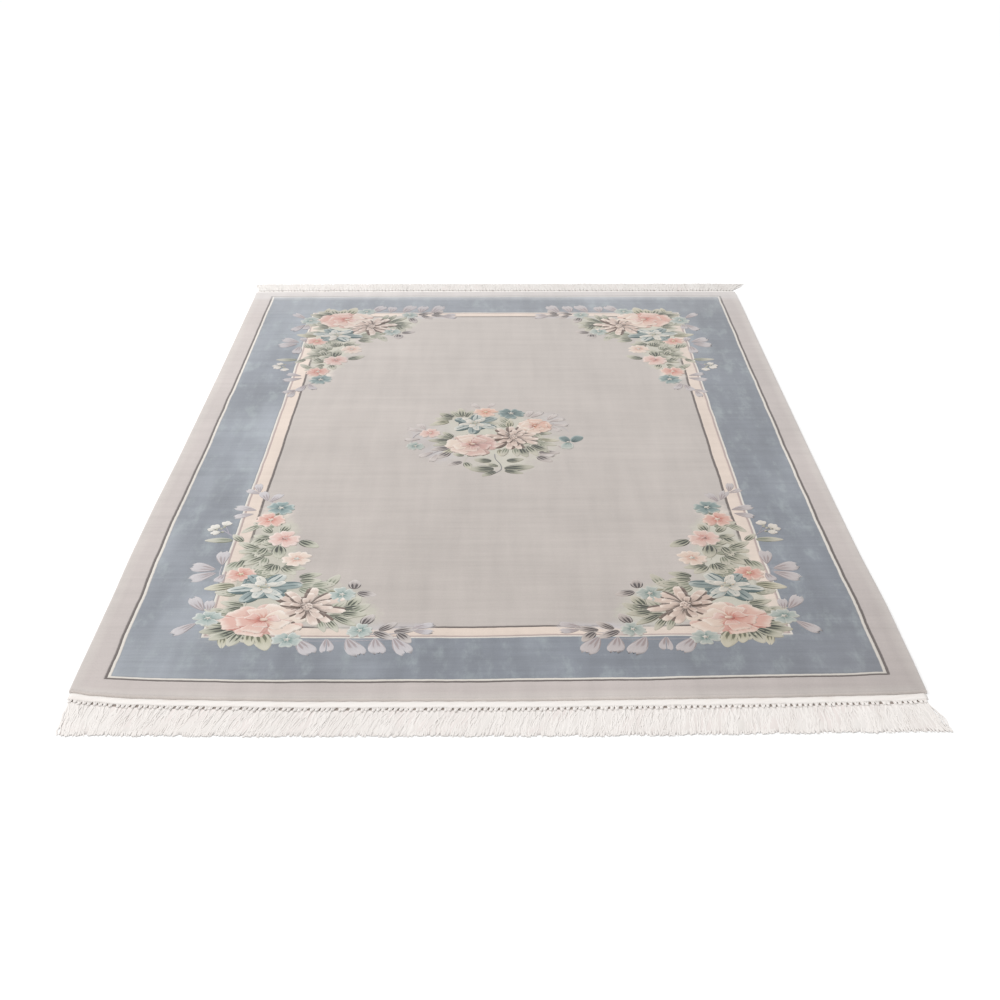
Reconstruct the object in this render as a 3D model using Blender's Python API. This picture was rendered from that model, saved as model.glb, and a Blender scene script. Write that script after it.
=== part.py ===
"""A knotted pile rug lying flat, with a white web and a long fringe at each end.

Metres, +Z up. The rug's length runs along Y, its near end at -Y, and its underside is the plane Z = 0.
"""

import math
import random

import bmesh
import bpy

# Pile
WIDTH = 1.83
LENGTH = 2.74
PILE_HEIGHT = 0.010
PILE_FOOT = 0.0015
RIM_ROUND = 0.0045
RIM_SEGMENTS = 2
END_STEPS = 44
SIDE_STEPS = 24
PARTING = 0.0003

# How far the near end is drawn back from a straight line: share of the width from the left, setback
NEAR_SETBACKS = (
    (0.000, 0.031),
    (0.030, 0.022),
    (0.075, 0.013),
    (0.135, 0.008),
    (0.200, 0.004),
    (0.270, 0.000),
    (0.530, 0.000),
    (0.630, 0.004),
    (0.740, 0.008),
    (0.830, 0.012),
    (0.900, 0.017),
    (0.960, 0.021),
    (1.000, 0.028),
)
# How far the far end is drawn back: share of the width, setback
FAR_SETBACKS = (
    (0.00, 0.004),
    (0.04, 0.001),
    (0.30, 0.000),
    (0.62, 0.001),
    (0.95, 0.000),
    (1.00, 0.003),
)
# How far each long side stands out from a straight line: share of the length from the near end, left, right
SIDE_BULGES = (
    (0.00, -0.005, -0.004),
    (0.05, -0.001, 0.001),
    (0.14, 0.001, 0.003),
    (0.24, 0.005, 0.001),
    (0.33, 0.005, 0.001),
    (0.45, 0.001, 0.000),
    (0.70, 0.000, 0.000),
    (0.95, 0.001, 0.001),
    (1.00, -0.002, -0.001),
)

# Web: the flat woven strip that closes each end
WEB_WIDTH = 0.021
WEB_HEIGHT = 0.0026
WEB_INSET = 0.003

# Fringe
STRANDS = 148
ROOT_WIDTH = 0.0046
STRAND_CLEARANCE = 0.0012
CREST_SHARE = 0.5
LENGTH_WAVER = 0.05
DRIFT_WAVER = 0.0028
# Along a strand: share of its length, width, height, share of the lean that it has taken up
STRAND_SECTIONS = (
    (0.15, 0.0062, 0.0046, 0.18),
    (0.55, 0.0098, 0.0042, 0.60),
    (1.00, 0.0076, 0.0024, 1.00),
)
# The strands' lean across each fringe: share of the width, sideways run over a strand's length
NEAR_LEANS = (
    (0.00, 0.004),
    (0.04, -0.006),
    (0.12, -0.022),
    (0.34, -0.026),
    (0.55, -0.016),
    (0.78, -0.012),
    (0.93, -0.002),
    (1.00, 0.017),
)
FAR_LEANS = (
    (0.00, -0.020),
    (0.06, -0.010),
    (0.30, 0.004),
    (0.62, -0.004),
    (0.88, 0.006),
    (0.97, 0.030),
    (1.00, 0.050),
)
NEAR_REACH = 0.130
FAR_REACH = 0.122

PILE_COLOUR = (0.55, 0.52, 0.50, 1.0)
COTTON_COLOUR = (0.86, 0.84, 0.81, 1.0)


def read_table(rows, share, column=1):
    """The value of one column at a share, eased between the two rows around it."""
    for before, after in zip(rows, rows[1:]):
        if share <= after[0]:
            part = (share - before[0]) / (after[0] - before[0])
            part = part * part * (3 - 2 * part) * 0.5 + part * 0.5
            return before[column] + (after[column] - before[column]) * part
    return rows[-1][column]


def straight_between_steps(curve, share):
    """A curve read at every END_STEPS-th of the width and straight between, as the solid's rim is."""
    step = min(int(share * END_STEPS), END_STEPS - 1)
    part = share * END_STEPS - step
    return curve(step / END_STEPS) * (1 - part) + curve((step + 1) / END_STEPS) * part


def near_edge(share):
    setback = straight_between_steps(lambda place: read_table(NEAR_SETBACKS, place), share)
    return -LENGTH / 2 + setback


def far_edge(share):
    setback = straight_between_steps(lambda place: read_table(FAR_SETBACKS, place), share)
    return LENGTH / 2 - setback


def left_edge(share):
    return -WIDTH / 2 - read_table(SIDE_BULGES, share, 1)


def right_edge(share):
    return WIDTH / 2 + read_table(SIDE_BULGES, share, 2)


def rug_point(across, along):
    """A point of the uneven rectangle, from its shares of the width and of the length."""
    x = left_edge(along) + (right_edge(along) - left_edge(along)) * across
    y = near_edge(across) + (far_edge(across) - near_edge(across)) * along
    return x, y


def new_material(name, colour, roughness):
    material = bpy.data.materials.new(name)
    material.use_nodes = True
    shader = material.node_tree.nodes["Principled BSDF"]
    shader.inputs["Base Color"].default_value = colour
    shader.inputs["Roughness"].default_value = roughness
    shader.inputs["Metallic"].default_value = 0.0
    return material


def add_object(name, bm, material, collection):
    bmesh.ops.recalc_face_normals(bm, faces=bm.faces)
    mesh = bpy.data.meshes.new(name)
    bm.to_mesh(mesh)
    bm.free()
    mesh.materials.append(material)
    made = bpy.data.objects.new(name, mesh)
    collection.objects.link(made)
    return made


def rim_shares():
    """Shares of width and length all the way round the rug, anticlockwise from the near left corner."""
    ends = [step / END_STEPS for step in range(END_STEPS)]
    sides = [step / SIDE_STEPS for step in range(SIDE_STEPS)]
    shares = [(share, 0.0) for share in ends]
    shares += [(1.0, share) for share in sides]
    shares += [(1.0 - share, 1.0) for share in ends]
    shares += [(0.0, 1.0 - share) for share in sides]
    return shares


def make_pile(collection):
    """The thick sheet of cut pile: its real outline, raised, with the rim of the pile rounded over."""
    bm = bmesh.new()
    rim = [bm.verts.new((*rug_point(across, along), 0.0)) for across, along in rim_shares()]
    sheet = bm.faces.new(rim)
    raised = bmesh.ops.extrude_face_region(bm, geom=[sheet], use_keep_orig=True)["geom"]
    top = [part for part in raised if isinstance(part, bmesh.types.BMVert)]
    bmesh.ops.translate(bm, verts=top, vec=(0, 0, PILE_HEIGHT))
    top_edges = [edge for edge in bm.edges if all(vert.co.z > PILE_FOOT for vert in edge.verts)]
    bmesh.ops.bevel(
        bm,
        geom=top_edges,
        offset=RIM_ROUND,
        segments=RIM_SEGMENTS,
        profile=0.5,
        affect="EDGES",
    )
    material = new_material("silk_pile", PILE_COLOUR, 0.7)
    return add_object("pile_field", bm, material, collection)


def strand_ends(leans, reach, seed):
    """For each strand: its root's share of the width, its lean and its length."""
    draw = random.Random(seed)
    strands = []
    for number in range(STRANDS):
        share = (number + 0.5) / STRANDS
        lean = read_table(leans, share)
        lean += DRIFT_WAVER * math.sin(number * 0.9 + 1.3 * math.sin(number * 0.23))
        length = (reach - WEB_WIDTH) * (1 - LENGTH_WAVER * draw.random())
        strands.append((share, lean, length))
    return strands


def strand_centres(strands, root_x, section):
    """The X of every strand's middle at one section."""
    return [x + lean * section[3] for x, (_, lean, _) in zip(root_x, strands)]


def free_widths(centres, width):
    """The width of each strand there, narrowed where its neighbours come close."""
    widths = []
    for number, x in enumerate(centres):
        nearest = min(abs(x - other) for other in centres[max(0, number - 1) : number + 2] if other != x)
        widths.append(min(width, nearest - STRAND_CLEARANCE))
    return widths


def make_fringe(name, edge, along, outward, leans, reach, seed, material, collection):
    """A web strip along one end of the pile, with the fringe's strands fused to its outer edge."""
    strands = strand_ends(leans, reach, seed)
    corner_x, width = left_edge(along), right_edge(along) - left_edge(along)
    left, span = corner_x + WEB_INSET, width - 2 * WEB_INSET
    root_x = [left + span * share for share, _, _ in strands]
    breaks = [left]
    for x in root_x:
        breaks += [x - ROOT_WIDTH / 2, x + ROOT_WIDTH / 2]
    breaks.append(left + span)

    bm = bmesh.new()
    inner, outer = [], []
    for x in breaks:
        end_y = edge((x - corner_x) / width) + outward * PARTING
        inner.append(bm.verts.new((x, end_y, 0)))
        outer.append(bm.verts.new((x, end_y + outward * (WEB_WIDTH - PARTING), 0)))
    for column in range(len(breaks) - 1):
        bm.faces.new((inner[column], outer[column], outer[column + 1], inner[column + 1]))

    crests = {vert: WEB_HEIGHT for vert in inner + outer}
    middles = {}
    tips = [(outer[2 * number + 1], outer[2 * number + 2]) for number in range(STRANDS)]
    for section in STRAND_SECTIONS:
        centres = strand_centres(strands, root_x, section)
        widths = free_widths(centres, section[1])
        for number, (_, _, length) in enumerate(strands):
            root_y = edge((root_x[number] - corner_x) / width) + outward * WEB_WIDTH
            grown = bmesh.ops.extrude_edge_only(bm, edges=[bm.edges.get(tips[number])])
            added = [part for part in grown["geom"] if isinstance(part, bmesh.types.BMVert)]
            added.sort(key=lambda vert: vert.co.x)
            for vert, side in zip(added, (-0.5, 0.5)):
                vert.co.x = centres[number] + side * widths[number]
                vert.co.y = root_y + outward * length * section[0]
                crests[vert] = section[2]
                middles[vert] = centres[number]
            tips[number] = tuple(added)

    raise_sheet(bm, crests, middles)
    return add_object(name, bm, material, collection)


def raise_sheet(bm, crests, middles):
    """Gives the flat plan its thickness: each strand is drawn in towards its crest."""
    plan = {(round(vert.co.x, 7), round(vert.co.y, 7)): vert for vert in bm.verts}
    heights = {place: (crests[vert], middles.get(vert)) for place, vert in plan.items()}
    raised = bmesh.ops.extrude_face_region(bm, geom=bm.faces[:], use_keep_orig=True)["geom"]
    for vert in raised:
        if isinstance(vert, bmesh.types.BMVert):
            height, middle = heights[round(vert.co.x, 7), round(vert.co.y, 7)]
            vert.co.z = height
            if middle is not None:
                vert.co.x = middle + (vert.co.x - middle) * CREST_SHARE


def centre_on_origin(parts):
    """Moves the whole rug so that the middle of its bounding box, seen from above, is the origin."""
    points = [vert.co for part in parts for vert in part.data.vertices]
    middle = [(min(p[axis] for p in points) + max(p[axis] for p in points)) / 2 for axis in (0, 1)]
    for part in parts:
        for vert in part.data.vertices:
            vert.co.x -= middle[0]
            vert.co.y -= middle[1]


def main():
    for old in list(bpy.data.objects):
        bpy.data.objects.remove(old)
    collection = bpy.data.collections.new("fringed_rug")
    bpy.context.scene.collection.children.link(collection)
    pile = make_pile(collection)
    cotton = new_material("cotton_warp", COTTON_COLOUR, 0.85)
    near = make_fringe(
        "fringe_near", near_edge, 0.0, -1, NEAR_LEANS, NEAR_REACH, 7, cotton, collection
    )
    far = make_fringe("fringe_far", far_edge, 1.0, 1, FAR_LEANS, FAR_REACH, 11, cotton, collection)
    centre_on_origin([pile, near, far])


main()
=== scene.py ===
import math

import bpy
import numpy as np
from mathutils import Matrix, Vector


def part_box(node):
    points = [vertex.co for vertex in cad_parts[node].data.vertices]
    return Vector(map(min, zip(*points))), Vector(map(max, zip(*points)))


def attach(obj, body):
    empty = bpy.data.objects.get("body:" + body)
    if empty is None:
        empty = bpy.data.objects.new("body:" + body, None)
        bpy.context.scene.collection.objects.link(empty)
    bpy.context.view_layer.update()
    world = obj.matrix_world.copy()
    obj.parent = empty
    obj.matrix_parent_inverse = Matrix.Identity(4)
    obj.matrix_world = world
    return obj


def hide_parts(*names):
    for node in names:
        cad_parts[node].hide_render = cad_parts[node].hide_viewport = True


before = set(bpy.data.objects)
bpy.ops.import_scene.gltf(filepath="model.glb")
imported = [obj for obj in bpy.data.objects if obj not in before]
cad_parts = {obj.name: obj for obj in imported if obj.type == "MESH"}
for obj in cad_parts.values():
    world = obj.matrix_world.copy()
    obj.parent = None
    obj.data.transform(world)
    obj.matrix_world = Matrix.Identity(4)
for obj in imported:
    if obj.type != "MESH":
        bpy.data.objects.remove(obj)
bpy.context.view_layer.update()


studioLight = 1.22  # how brightly the studio lights a level surface


def dye(red, green, blue):
    # a colour as it looks in the studio, turned into the linear one that shaders take
    shares = [value / 255 for value in (red, green, blue)]
    linear = [s / 12.92 if s <= 0.04045 else ((s + 0.055) / 1.055) ** 2.4 for s in shares]
    return (*(share / studioLight for share in linear), 1.0)


# the rug's plan: straight-sided, in metres, middle at 0, near end at -y
rug = dict(
    width=1.83,
    length=2.74,
    outerLine=0.0686,  # edge to the middle of the dark line
    innerLine=0.2918,
    ease=0.9,  # how far in the near end's bow has died away
    farEase=0.17,
    pileTop=0.0088,  # above the floor
    wallTop=0.0026,  # where the rim starts to round off
    rimRound=0.0052,  # how far in the rounding reaches
    pitch=0.014,  # between the rows of the sheet's grid
    waver=0.00018,  # how unevenly the pile is cut
    recess=0.0008,  # how much lower the ground is shaved between the flowers
    leftBulge=0.005,  # how far the part's own left side bulges at most
)

# tables of lengths are in millimetres
nearSetbacks = (  # share of the width, how far the near end is drawn back
    (0.000, 36), (0.030, 23), (0.075, 13), (0.135, 8), (0.200, 4), (0.270, 0), (0.530, 0),
    (0.630, 4), (0.740, 8), (0.830, 12), (0.900, 17), (0.960, 21), (1.000, 28),
)
nearLineSetbacks = (  # the same for the dark line near that end
    (0.000, 13), (0.037, 9), (0.115, 0), (0.250, -7), (0.480, -6), (0.545, -2), (0.560, 0),
    (0.660, 0), (0.720, 4), (0.780, 9), (0.890, 14), (0.955, 21), (1.000, 26),
)
farSetbacks = (  # the same for the far end and for the dark line near it
    (0.00, 1, -13), (0.04, -2, -14), (0.30, -4, -15), (0.62, -3, -14), (0.95, -3, -13),
    (1.00, 0, -11),
)
sideBulges = (  # share of the length, left side, right side
    (0.00, 3, 1), (0.05, 4, 3), (0.14, 5, 4), (0.24, 9, -2), (0.33, 9, -3), (0.45, 5, -3),
    (0.70, 4, -1), (0.95, 6, 2), (1.00, 8, 1),
)


def inMetres(rows, *columns):
    # the rows of a table with these columns turned from millimetres into metres
    return [
        tuple(item / 1000 if number in columns else item for number, item in enumerate(row))
        for row in rows
    ]


def readTable(rows, share, column=1):
    table = np.array(inMetres(rows, column))
    place = np.clip(share, 0, 1)
    row = np.clip(np.searchsorted(table[:, 0], place) - 1, 0, len(table) - 2)
    part = (place - table[row, 0]) / (table[row + 1, 0] - table[row, 0])
    part = part * part * (3 - 2 * part) * 0.5 + part * 0.5
    return table[row, column] * (1 - part) + table[row + 1, column] * part


pileLow, pileHigh = (np.array(corner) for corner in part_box("pile_field"))
rugMiddle = (
    pileLow[0] + rug["width"] / 2 + rug["leftBulge"],
    (pileLow[1] + pileHigh[1]) / 2,
)


def onFloor(x, y):
    # where a point of the straight plan lies on the real, uneven rug
    width, length = rug["width"], rug["length"]
    across = (x + width / 2) / width
    along = (y + length / 2) / length
    left = -width / 2 - readTable(sideBulges, along, 1)
    right = width / 2 + readTable(sideBulges, along, 2)
    fromNear, fromFar = y + length / 2, length / 2 - y
    atLine = np.clip(fromNear / rug["outerLine"], 0, 1)
    bow = readTable(nearSetbacks, across) * (1 - atLine)
    bow = bow + readTable(nearLineSetbacks, across) * atLine
    fade = np.clip((fromNear - rug["outerLine"]) / (rug["ease"] - rug["outerLine"]), 0, 1)
    bow = bow * (1 - fade) ** 2
    atLine = np.clip(fromFar / rug["outerLine"], 0, 1)
    farBow = readTable(farSetbacks, across, 1) * (1 - atLine)
    farBow = farBow + readTable(farSetbacks, across, 2) * atLine
    farBow = farBow * np.clip(1 - (fromFar - rug["outerLine"]) / rug["farEase"], 0, 1)
    return left + (right - left) * across + rugMiddle[0], y + bow - farBow + rugMiddle[1]


# node helpers: feed joins a socket or sets its value, and calc is one maths node
def feed(tree, socket, value):
    if isinstance(value, bpy.types.NodeSocket):
        tree.links.new(value, socket)
    else:
        socket.default_value = value


def addNode(tree, kind, inputs=None, **settings):
    made = tree.nodes.new(kind)
    for name, value in settings.items():
        setattr(made, name, value)
    for name, value in (inputs or {}).items():
        feed(tree, made.inputs[name], value)
    return made


def calc(tree, operation, *values):
    made = addNode(tree, "ShaderNodeMath", operation=operation)
    for socket, value in zip(made.inputs, values):
        feed(tree, socket, value)
    return made.outputs[0]


def plus(tree, first, second):
    return calc(tree, "ADD", first, second)


def minus(tree, first, second):
    return calc(tree, "SUBTRACT", first, second)


def times(tree, first, second):
    return calc(tree, "MULTIPLY", first, second)


def timesPlus(tree, first, second, third):
    return calc(tree, "MULTIPLY_ADD", first, second, third)


def centred(tree, value):
    return minus(tree, value, 0.5)


def separate(tree, vector):
    return addNode(tree, "ShaderNodeSeparateXYZ", {"Vector": vector}).outputs


def combine(tree, x, y, z):
    return addNode(tree, "ShaderNodeCombineXYZ", {"X": x, "Y": y, "Z": z}).outputs[0]


def objectPlace(tree):
    return addNode(tree, "ShaderNodeTexCoord").outputs["Object"]


def readAttribute(tree, name):
    return addNode(tree, "ShaderNodeAttribute", attribute_name=name).outputs


def smooth(tree, value, low, high):
    made = addNode(tree, "ShaderNodeMapRange", interpolation_type="SMOOTHSTEP")
    for name, given in (("Value", value), ("From Min", low), ("From Max", high)):
        feed(tree, made.inputs[name], given)
    return made.outputs[0]


def mixDyes(tree, amount, first, second, blend="MIX"):
    made = addNode(tree, "ShaderNodeMix", data_type="RGBA", blend_type=blend)
    feed(tree, made.inputs[0], amount)
    feed(tree, made.inputs[6], first)
    feed(tree, made.inputs[7], second)
    return made.outputs[2]


def noise(tree, place, scale, stretch=(1, 1, 1), detail=2.0, roughness=0.5):
    mapped = addNode(tree, "ShaderNodeMapping", {"Vector": place, "Scale": stretch})
    inputs = {"Vector": mapped.outputs[0], "Scale": scale, "Detail": detail, "Roughness": roughness}
    return addNode(tree, "ShaderNodeTexNoise", inputs).outputs["Fac"]


def newGroup(name, inputs, outputs):
    # inputs and outputs are rows of socket name and kind
    tree = bpy.data.node_groups.new(name, "ShaderNodeTree")
    for direction, rows in (("INPUT", inputs), ("OUTPUT", outputs)):
        for label, kind in rows:
            tree.interface.new_socket(label, in_out=direction, socket_type="NodeSocket" + kind)
    return tree, addNode(tree, "NodeGroupInput").outputs, addNode(tree, "NodeGroupOutput").inputs


def placeGroup(tree, group, **inputs):
    made = addNode(tree, "ShaderNodeGroup", node_tree=group)
    for name, value in inputs.items():
        feed(tree, made.inputs[name], value)
    return made.outputs


def newMaterial(name, **settings):
    material = bpy.data.materials.new(name)
    material.use_nodes = True
    shader = material.node_tree.nodes["Principled BSDF"]
    for label, value in settings.items():
        shader.inputs[label].default_value = value
    return material, material.node_tree, shader


def finishSurface(tree, shader, colour, strength, distance, height):
    feed(tree, shader.inputs["Base Color"], colour)
    inputs = {"Strength": strength, "Distance": distance, "Height": height}
    feed(tree, shader.inputs["Normal"], addNode(tree, "ShaderNodeBump", inputs).outputs[0])


# silk pile: soft clouds where the nap lies another way, streaks and rows, and fine grain
nap = dict(  # scale, stretch and detail of each kind of unevenness
    cloud=(3.2, (1, 1, 1), 3.0),
    streak=(5.0, (5.0, 0.55, 1.0), 3.0),
    band=(5.0, (0.25, 6.0, 1.0), 2.0),
    row=(22.0, (0.35, 6.0, 1.0), 2.0),
    grain=(420.0, (1, 0.6, 1), 1.0),
    tuft=(260.0, (1, 0.7, 1), 2.0),
)
napShares = dict(streak=0.8, band=0.7, row=0.45)  # how strong each is beside the clouds
reliefShare = 3.0  # how deep the carved lines are beside the tufts


def makeNapGroup():
    inputs = (("Dye", "Color"), ("Clouds", "Float"), ("Grain", "Float"))
    tree, given, wanted = newGroup("silkNap", inputs, (("Dye", "Color"), ("Height", "Float")))
    place = objectPlace(tree)
    soft = centred(tree, noise(tree, place, *nap["cloud"]))
    for kind, share in napShares.items():
        soft = timesPlus(tree, centred(tree, noise(tree, place, *nap[kind])), share, soft)
    soft = times(tree, soft, given["Clouds"])
    grain = centred(tree, noise(tree, place, *nap["grain"]))
    change = plus(tree, timesPlus(tree, grain, given["Grain"], soft), 1.0)
    shaded = addNode(tree, "ShaderNodeVectorMath", operation="SCALE")
    feed(tree, shaded.inputs[0], given["Dye"])
    feed(tree, shaded.inputs["Scale"], change)
    feed(tree, wanted["Dye"], shaded.outputs[0])
    tuft = noise(tree, place, *nap["tuft"])
    feed(tree, wanted["Height"], timesPlus(tree, soft, 1.5, tuft))
    return tree


napGroup = makeNapGroup()


def finishSilk(tree, shader, colour, clouds, grain, relief=None, bump=0.35):
    shaded = placeGroup(tree, napGroup, Dye=colour, Clouds=clouds, Grain=grain)
    height = shaded["Height"]
    if relief is not None:
        height = timesPlus(tree, relief, reliefShare, height)
    finishSurface(tree, shader, shaded["Dye"], bump, 0.0006, height)


silkSettings = {
    "Roughness": 0.62,
    "Specular IOR Level": 0.25,
    "Sheen Weight": 0.40,
    "Sheen Roughness": 0.45,
}

# the ground's bands, by the distance in from the edge at which each begins
bands = (
    # the first three stops grade the outer band paler towards the edge: painted light where the pile turns
    # over the rim
    (0.0000, dye(206, 198, 193)),
    (0.0180, dye(202, 193, 188)),
    (0.0300, dye(196, 186, 182)),
    (0.0653, dye(98, 88, 84)),
    (0.0719, dye(226, 219, 210)),
    (0.0785, dye(127, 132, 141)),
    (0.2455, dye(226, 219, 209)),
    (0.2505, dye(180, 160, 155)),
    (0.2560, dye(225, 208, 195)),
    (0.2882, dye(98, 87, 82)),
    (0.2950, dye(191, 182, 176)),
)
bandSpan = 0.32
bandSoftness = 0.0011
carvedLines = [start for start, _ in bands[3:]]
grooveReach = 0.0016  # half the width of the groove along a carved line
blueReach = (0.078, 0.082, 0.242, 0.246)  # where the blue band sets in and ends
lineWander = ((6.0, 0.008), (60.0, 0.0022))  # how a hand-knotted line wanders: noise scale, reach
wallReach = (0.0050, 0.0010)  # how far in the near wall's dye shows, and is whole
wallDye = dye(247, 238, 232)  # the pile's near wall, where the white warps show through


def setRamp(node, stops):
    points = node.color_ramp.elements
    while len(points) < len(stops):
        points.new(1.0)
    for point, (place, colour) in zip(points, stops):
        point.position = place
        point.color = colour


def bandStops():
    stops = [(0.0, bands[0][1])]
    for (_, before), (start, after) in zip(bands, bands[1:]):
        if start in carvedLines:
            stops.append(((start - bandSoftness / 2) / bandSpan, before))
            stops.append(((start + bandSoftness / 2) / bandSpan, after))
        else:
            stops.append((start / bandSpan, after))
    return stops


def grooveStops():
    level, cut = (1, 1, 1, 1), (0, 0, 0, 1)
    stops = [(0.0, level)]
    for line in carvedLines:
        stops += [((line + step) / bandSpan, colour) for step, colour in
                  ((-grooveReach, level), (0.0, cut), (grooveReach, level))]
    return stops


def makeBandGroup():
    outputs = (("Dye", "Color"), ("Relief", "Float"), ("Blue", "Float"))
    tree, _, wanted = newGroup("borderBands", (), outputs)
    plan = readAttribute(tree, "plan")["Vector"]
    parts = separate(tree, plan)
    fromSide = minus(tree, rug["width"] / 2, calc(tree, "ABSOLUTE", parts[0]))
    fromEnd = minus(tree, rug["length"] / 2, calc(tree, "ABSOLUTE", parts[1]))
    depth = calc(tree, "MINIMUM", fromSide, fromEnd)
    for scale, reach in lineWander:
        depth = timesPlus(tree, centred(tree, noise(tree, plan, scale)), reach, depth)
    share = calc(tree, "DIVIDE", depth, bandSpan)
    colours = addNode(tree, "ShaderNodeValToRGB", {"Fac": share})
    setRamp(colours, bandStops())
    relief = addNode(tree, "ShaderNodeValToRGB", {"Fac": share})
    setRamp(relief, grooveStops())
    wall = smooth(tree, parts[1], *(reach - rug["length"] / 2 for reach in wallReach))
    feed(tree, wanted["Dye"], mixDyes(tree, wall, colours.outputs[0], wallDye))
    feed(tree, wanted["Relief"], relief.outputs[0])
    begins, whole, fades, ends = blueReach
    entering, leaving = smooth(tree, depth, begins, whole), smooth(tree, depth, ends, fades)
    feed(tree, wanted["Blue"], times(tree, entering, leaving))
    return tree


bandGroup = makeBandGroup()

tintEdge = dict(scale=55.0, detail=3.0, ragged=0.55, reach=(0.12, 0.62))  # of the tint round a spray
groundNap = dict(clouds=0.24, moreInBlue=0.20, grain=0.14)

# painted light and shade on the ground, by where each sets in and is whole
brushedSheen = dict(  # painted sheen in the blue, each with its noise
    paler=((2.2, (1.6, 0.8, 1), 3.0), (0.43, 0.78), dye(178, 184, 192)),
    greener=((10.0, (1.9, 0.8, 1), 5.0, 0.68), (0.47, 0.72), dye(168, 178, 180)),
)
brushedSheenStrength = 0.46
brushedSheenDrift = dict(across=-0.10, change=0.085, along=0.03)  # where the paler ones gather: painted light, brighter to the left and towards the far end
# painted shade in the near right corner
cornerNapShade = dict(begins=1.5, whole=2.3, edge=(0.915, 0.880), strength=0.22, dye=dye(120, 112, 110))
# painted sheen: the far end paler, as pile looks when seen at a low angle
farSheen = ((1.26, 1.31, 0.29), (1.09, 1.15, 0.05))  # along the rug, with its strength
farSheenDye = dye(236, 234, 234)


def paintBrushedSheen(tree, place, parts, blue, colour):
    # painted sheen: paler brushings that drift across the rug, and greener streaks and blots
    across = timesPlus(tree, parts[1], brushedSheenDrift["change"], brushedSheenDrift["across"])
    for kind, (pattern, reach, tone) in brushedSheen.items():
        level = noise(tree, place, *pattern)
        if kind == "paler":
            level = timesPlus(tree, parts[0], across, level)
            level = timesPlus(tree, parts[1], brushedSheenDrift["along"], level)
        amount = times(tree, smooth(tree, level, *reach), blue)
        colour = mixDyes(tree, times(tree, amount, brushedSheenStrength), colour, tone)
    return colour


def shadeNapCorner(tree, parts, colour):
    # painted shade: the near right corner darker, where the nap lies the other way and throws back less light
    turned = smooth(tree, minus(tree, parts[0], parts[1]), cornerNapShade["begins"], cornerNapShade["whole"])
    turned = times(tree, turned, smooth(tree, parts[0], *cornerNapShade["edge"]))
    return mixDyes(tree, times(tree, turned, cornerNapShade["strength"]), colour, cornerNapShade["dye"])


def paintFarSheen(tree, parts, colour):
    # painted sheen, paler towards the far end
    total = 0.0
    for begins, whole, strength in farSheen:
        total = timesPlus(tree, smooth(tree, parts[1], begins, whole), strength, total)
    return mixDyes(tree, total, colour, farSheenDye)


def makeGroundMaterial():
    material, tree, shader = newMaterial("silkGround", **silkSettings)
    band = placeGroup(tree, bandGroup)
    tint = readAttribute(tree, "groundTint")
    place = objectPlace(tree)
    parts = separate(tree, place)
    ragged = centred(tree, noise(tree, place, tintEdge["scale"], detail=tintEdge["detail"]))
    amount = timesPlus(tree, ragged, tintEdge["ragged"], tint["Alpha"])
    amount = smooth(tree, amount, *tintEdge["reach"])
    colour = mixDyes(tree, amount, band["Dye"], tint["Color"])
    colour = paintBrushedSheen(tree, place, parts, band["Blue"], colour)
    colour = paintFarSheen(tree, parts, shadeNapCorner(tree, parts, colour))
    relief = times(tree, band["Relief"], minus(tree, 1.0, amount))  # tinted ground has no lines
    clouds = timesPlus(tree, band["Blue"], groundNap["moreInBlue"], groundNap["clouds"])
    finishSilk(tree, shader, colour, clouds, groundNap["grain"], relief)
    return material


backKnots = dict(scale=180.0, randomness=0.35, paler=0.45, shade=0.4)


def makeBackMaterial():
    material, tree, shader = newMaterial("knottedBack", **{"Roughness": 0.9})
    band = placeGroup(tree, bandGroup)
    inputs = {"Vector": objectPlace(tree), "Scale": backKnots["scale"],
              "Randomness": backKnots["randomness"]}
    knots = addNode(tree, "ShaderNodeTexVoronoi", inputs, distance="CHEBYCHEV").outputs["Distance"]
    pale = mixDyes(tree, backKnots["paler"], band["Dye"], dye(214, 206, 196))
    colour = mixDyes(tree, times(tree, knots, backKnots["shade"]), pale, dye(150, 142, 134))
    finishSurface(tree, shader, colour, 0.5, 0.0006, minus(tree, 1.0, knots))
    return material


petalLook = dict(
    heart=(0.10, 0.52),  # where the heart's dye gives way to the body's
    heartHatch=0.95,  # how far the brushed hatching runs into that change
    # heartSlant and rimSlant are painted light: each petal lighter on its one side, as if lit from there
    heartSlant=0.10,
    rim=(0.55, 0.92),  # where the rim's dye takes over
    rimHatch=0.30,
    rimSlant=0.08,
    rimCurve=1.5,
)
leafLook = dict(
    firstSpike=0.30,  # from the leaf's middle line, as a share of its half width
    spikePitch=0.60,
    fade=(-1.60, 0.96),  # how the spikes die away towards the tip: slope, start
    fadeHatch=1.3,
    spikeShare=0.55,
    spike=(0.46, 0.70),
    gap=(0.12, 0.45),  # how wide the pale veins between the spikes are
    edge=(0.97, 0.84),
    rim=(0.35, 0.85),
    rimHatch=0.5,
)
petalNap = dict(clouds=0.08, grain=0.12, bump=0.3)


def readPetalPlace(tree):
    # each petal's own run and side, its brushed hatching, and its three dyes
    grid = readAttribute(tree, "petalPlace")["Vector"]
    run, side, _ = separate(tree, grid)
    hatch = centred(tree, noise(tree, grid, 6.0, (0.30, 1.5, 1.0), 2.0))
    dyes = [readAttribute(tree, label)["Color"] for label in ("heartDye", "bodyDye", "rimDye")]
    return run, side, calc(tree, "ABSOLUTE", side), hatch, dyes


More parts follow.
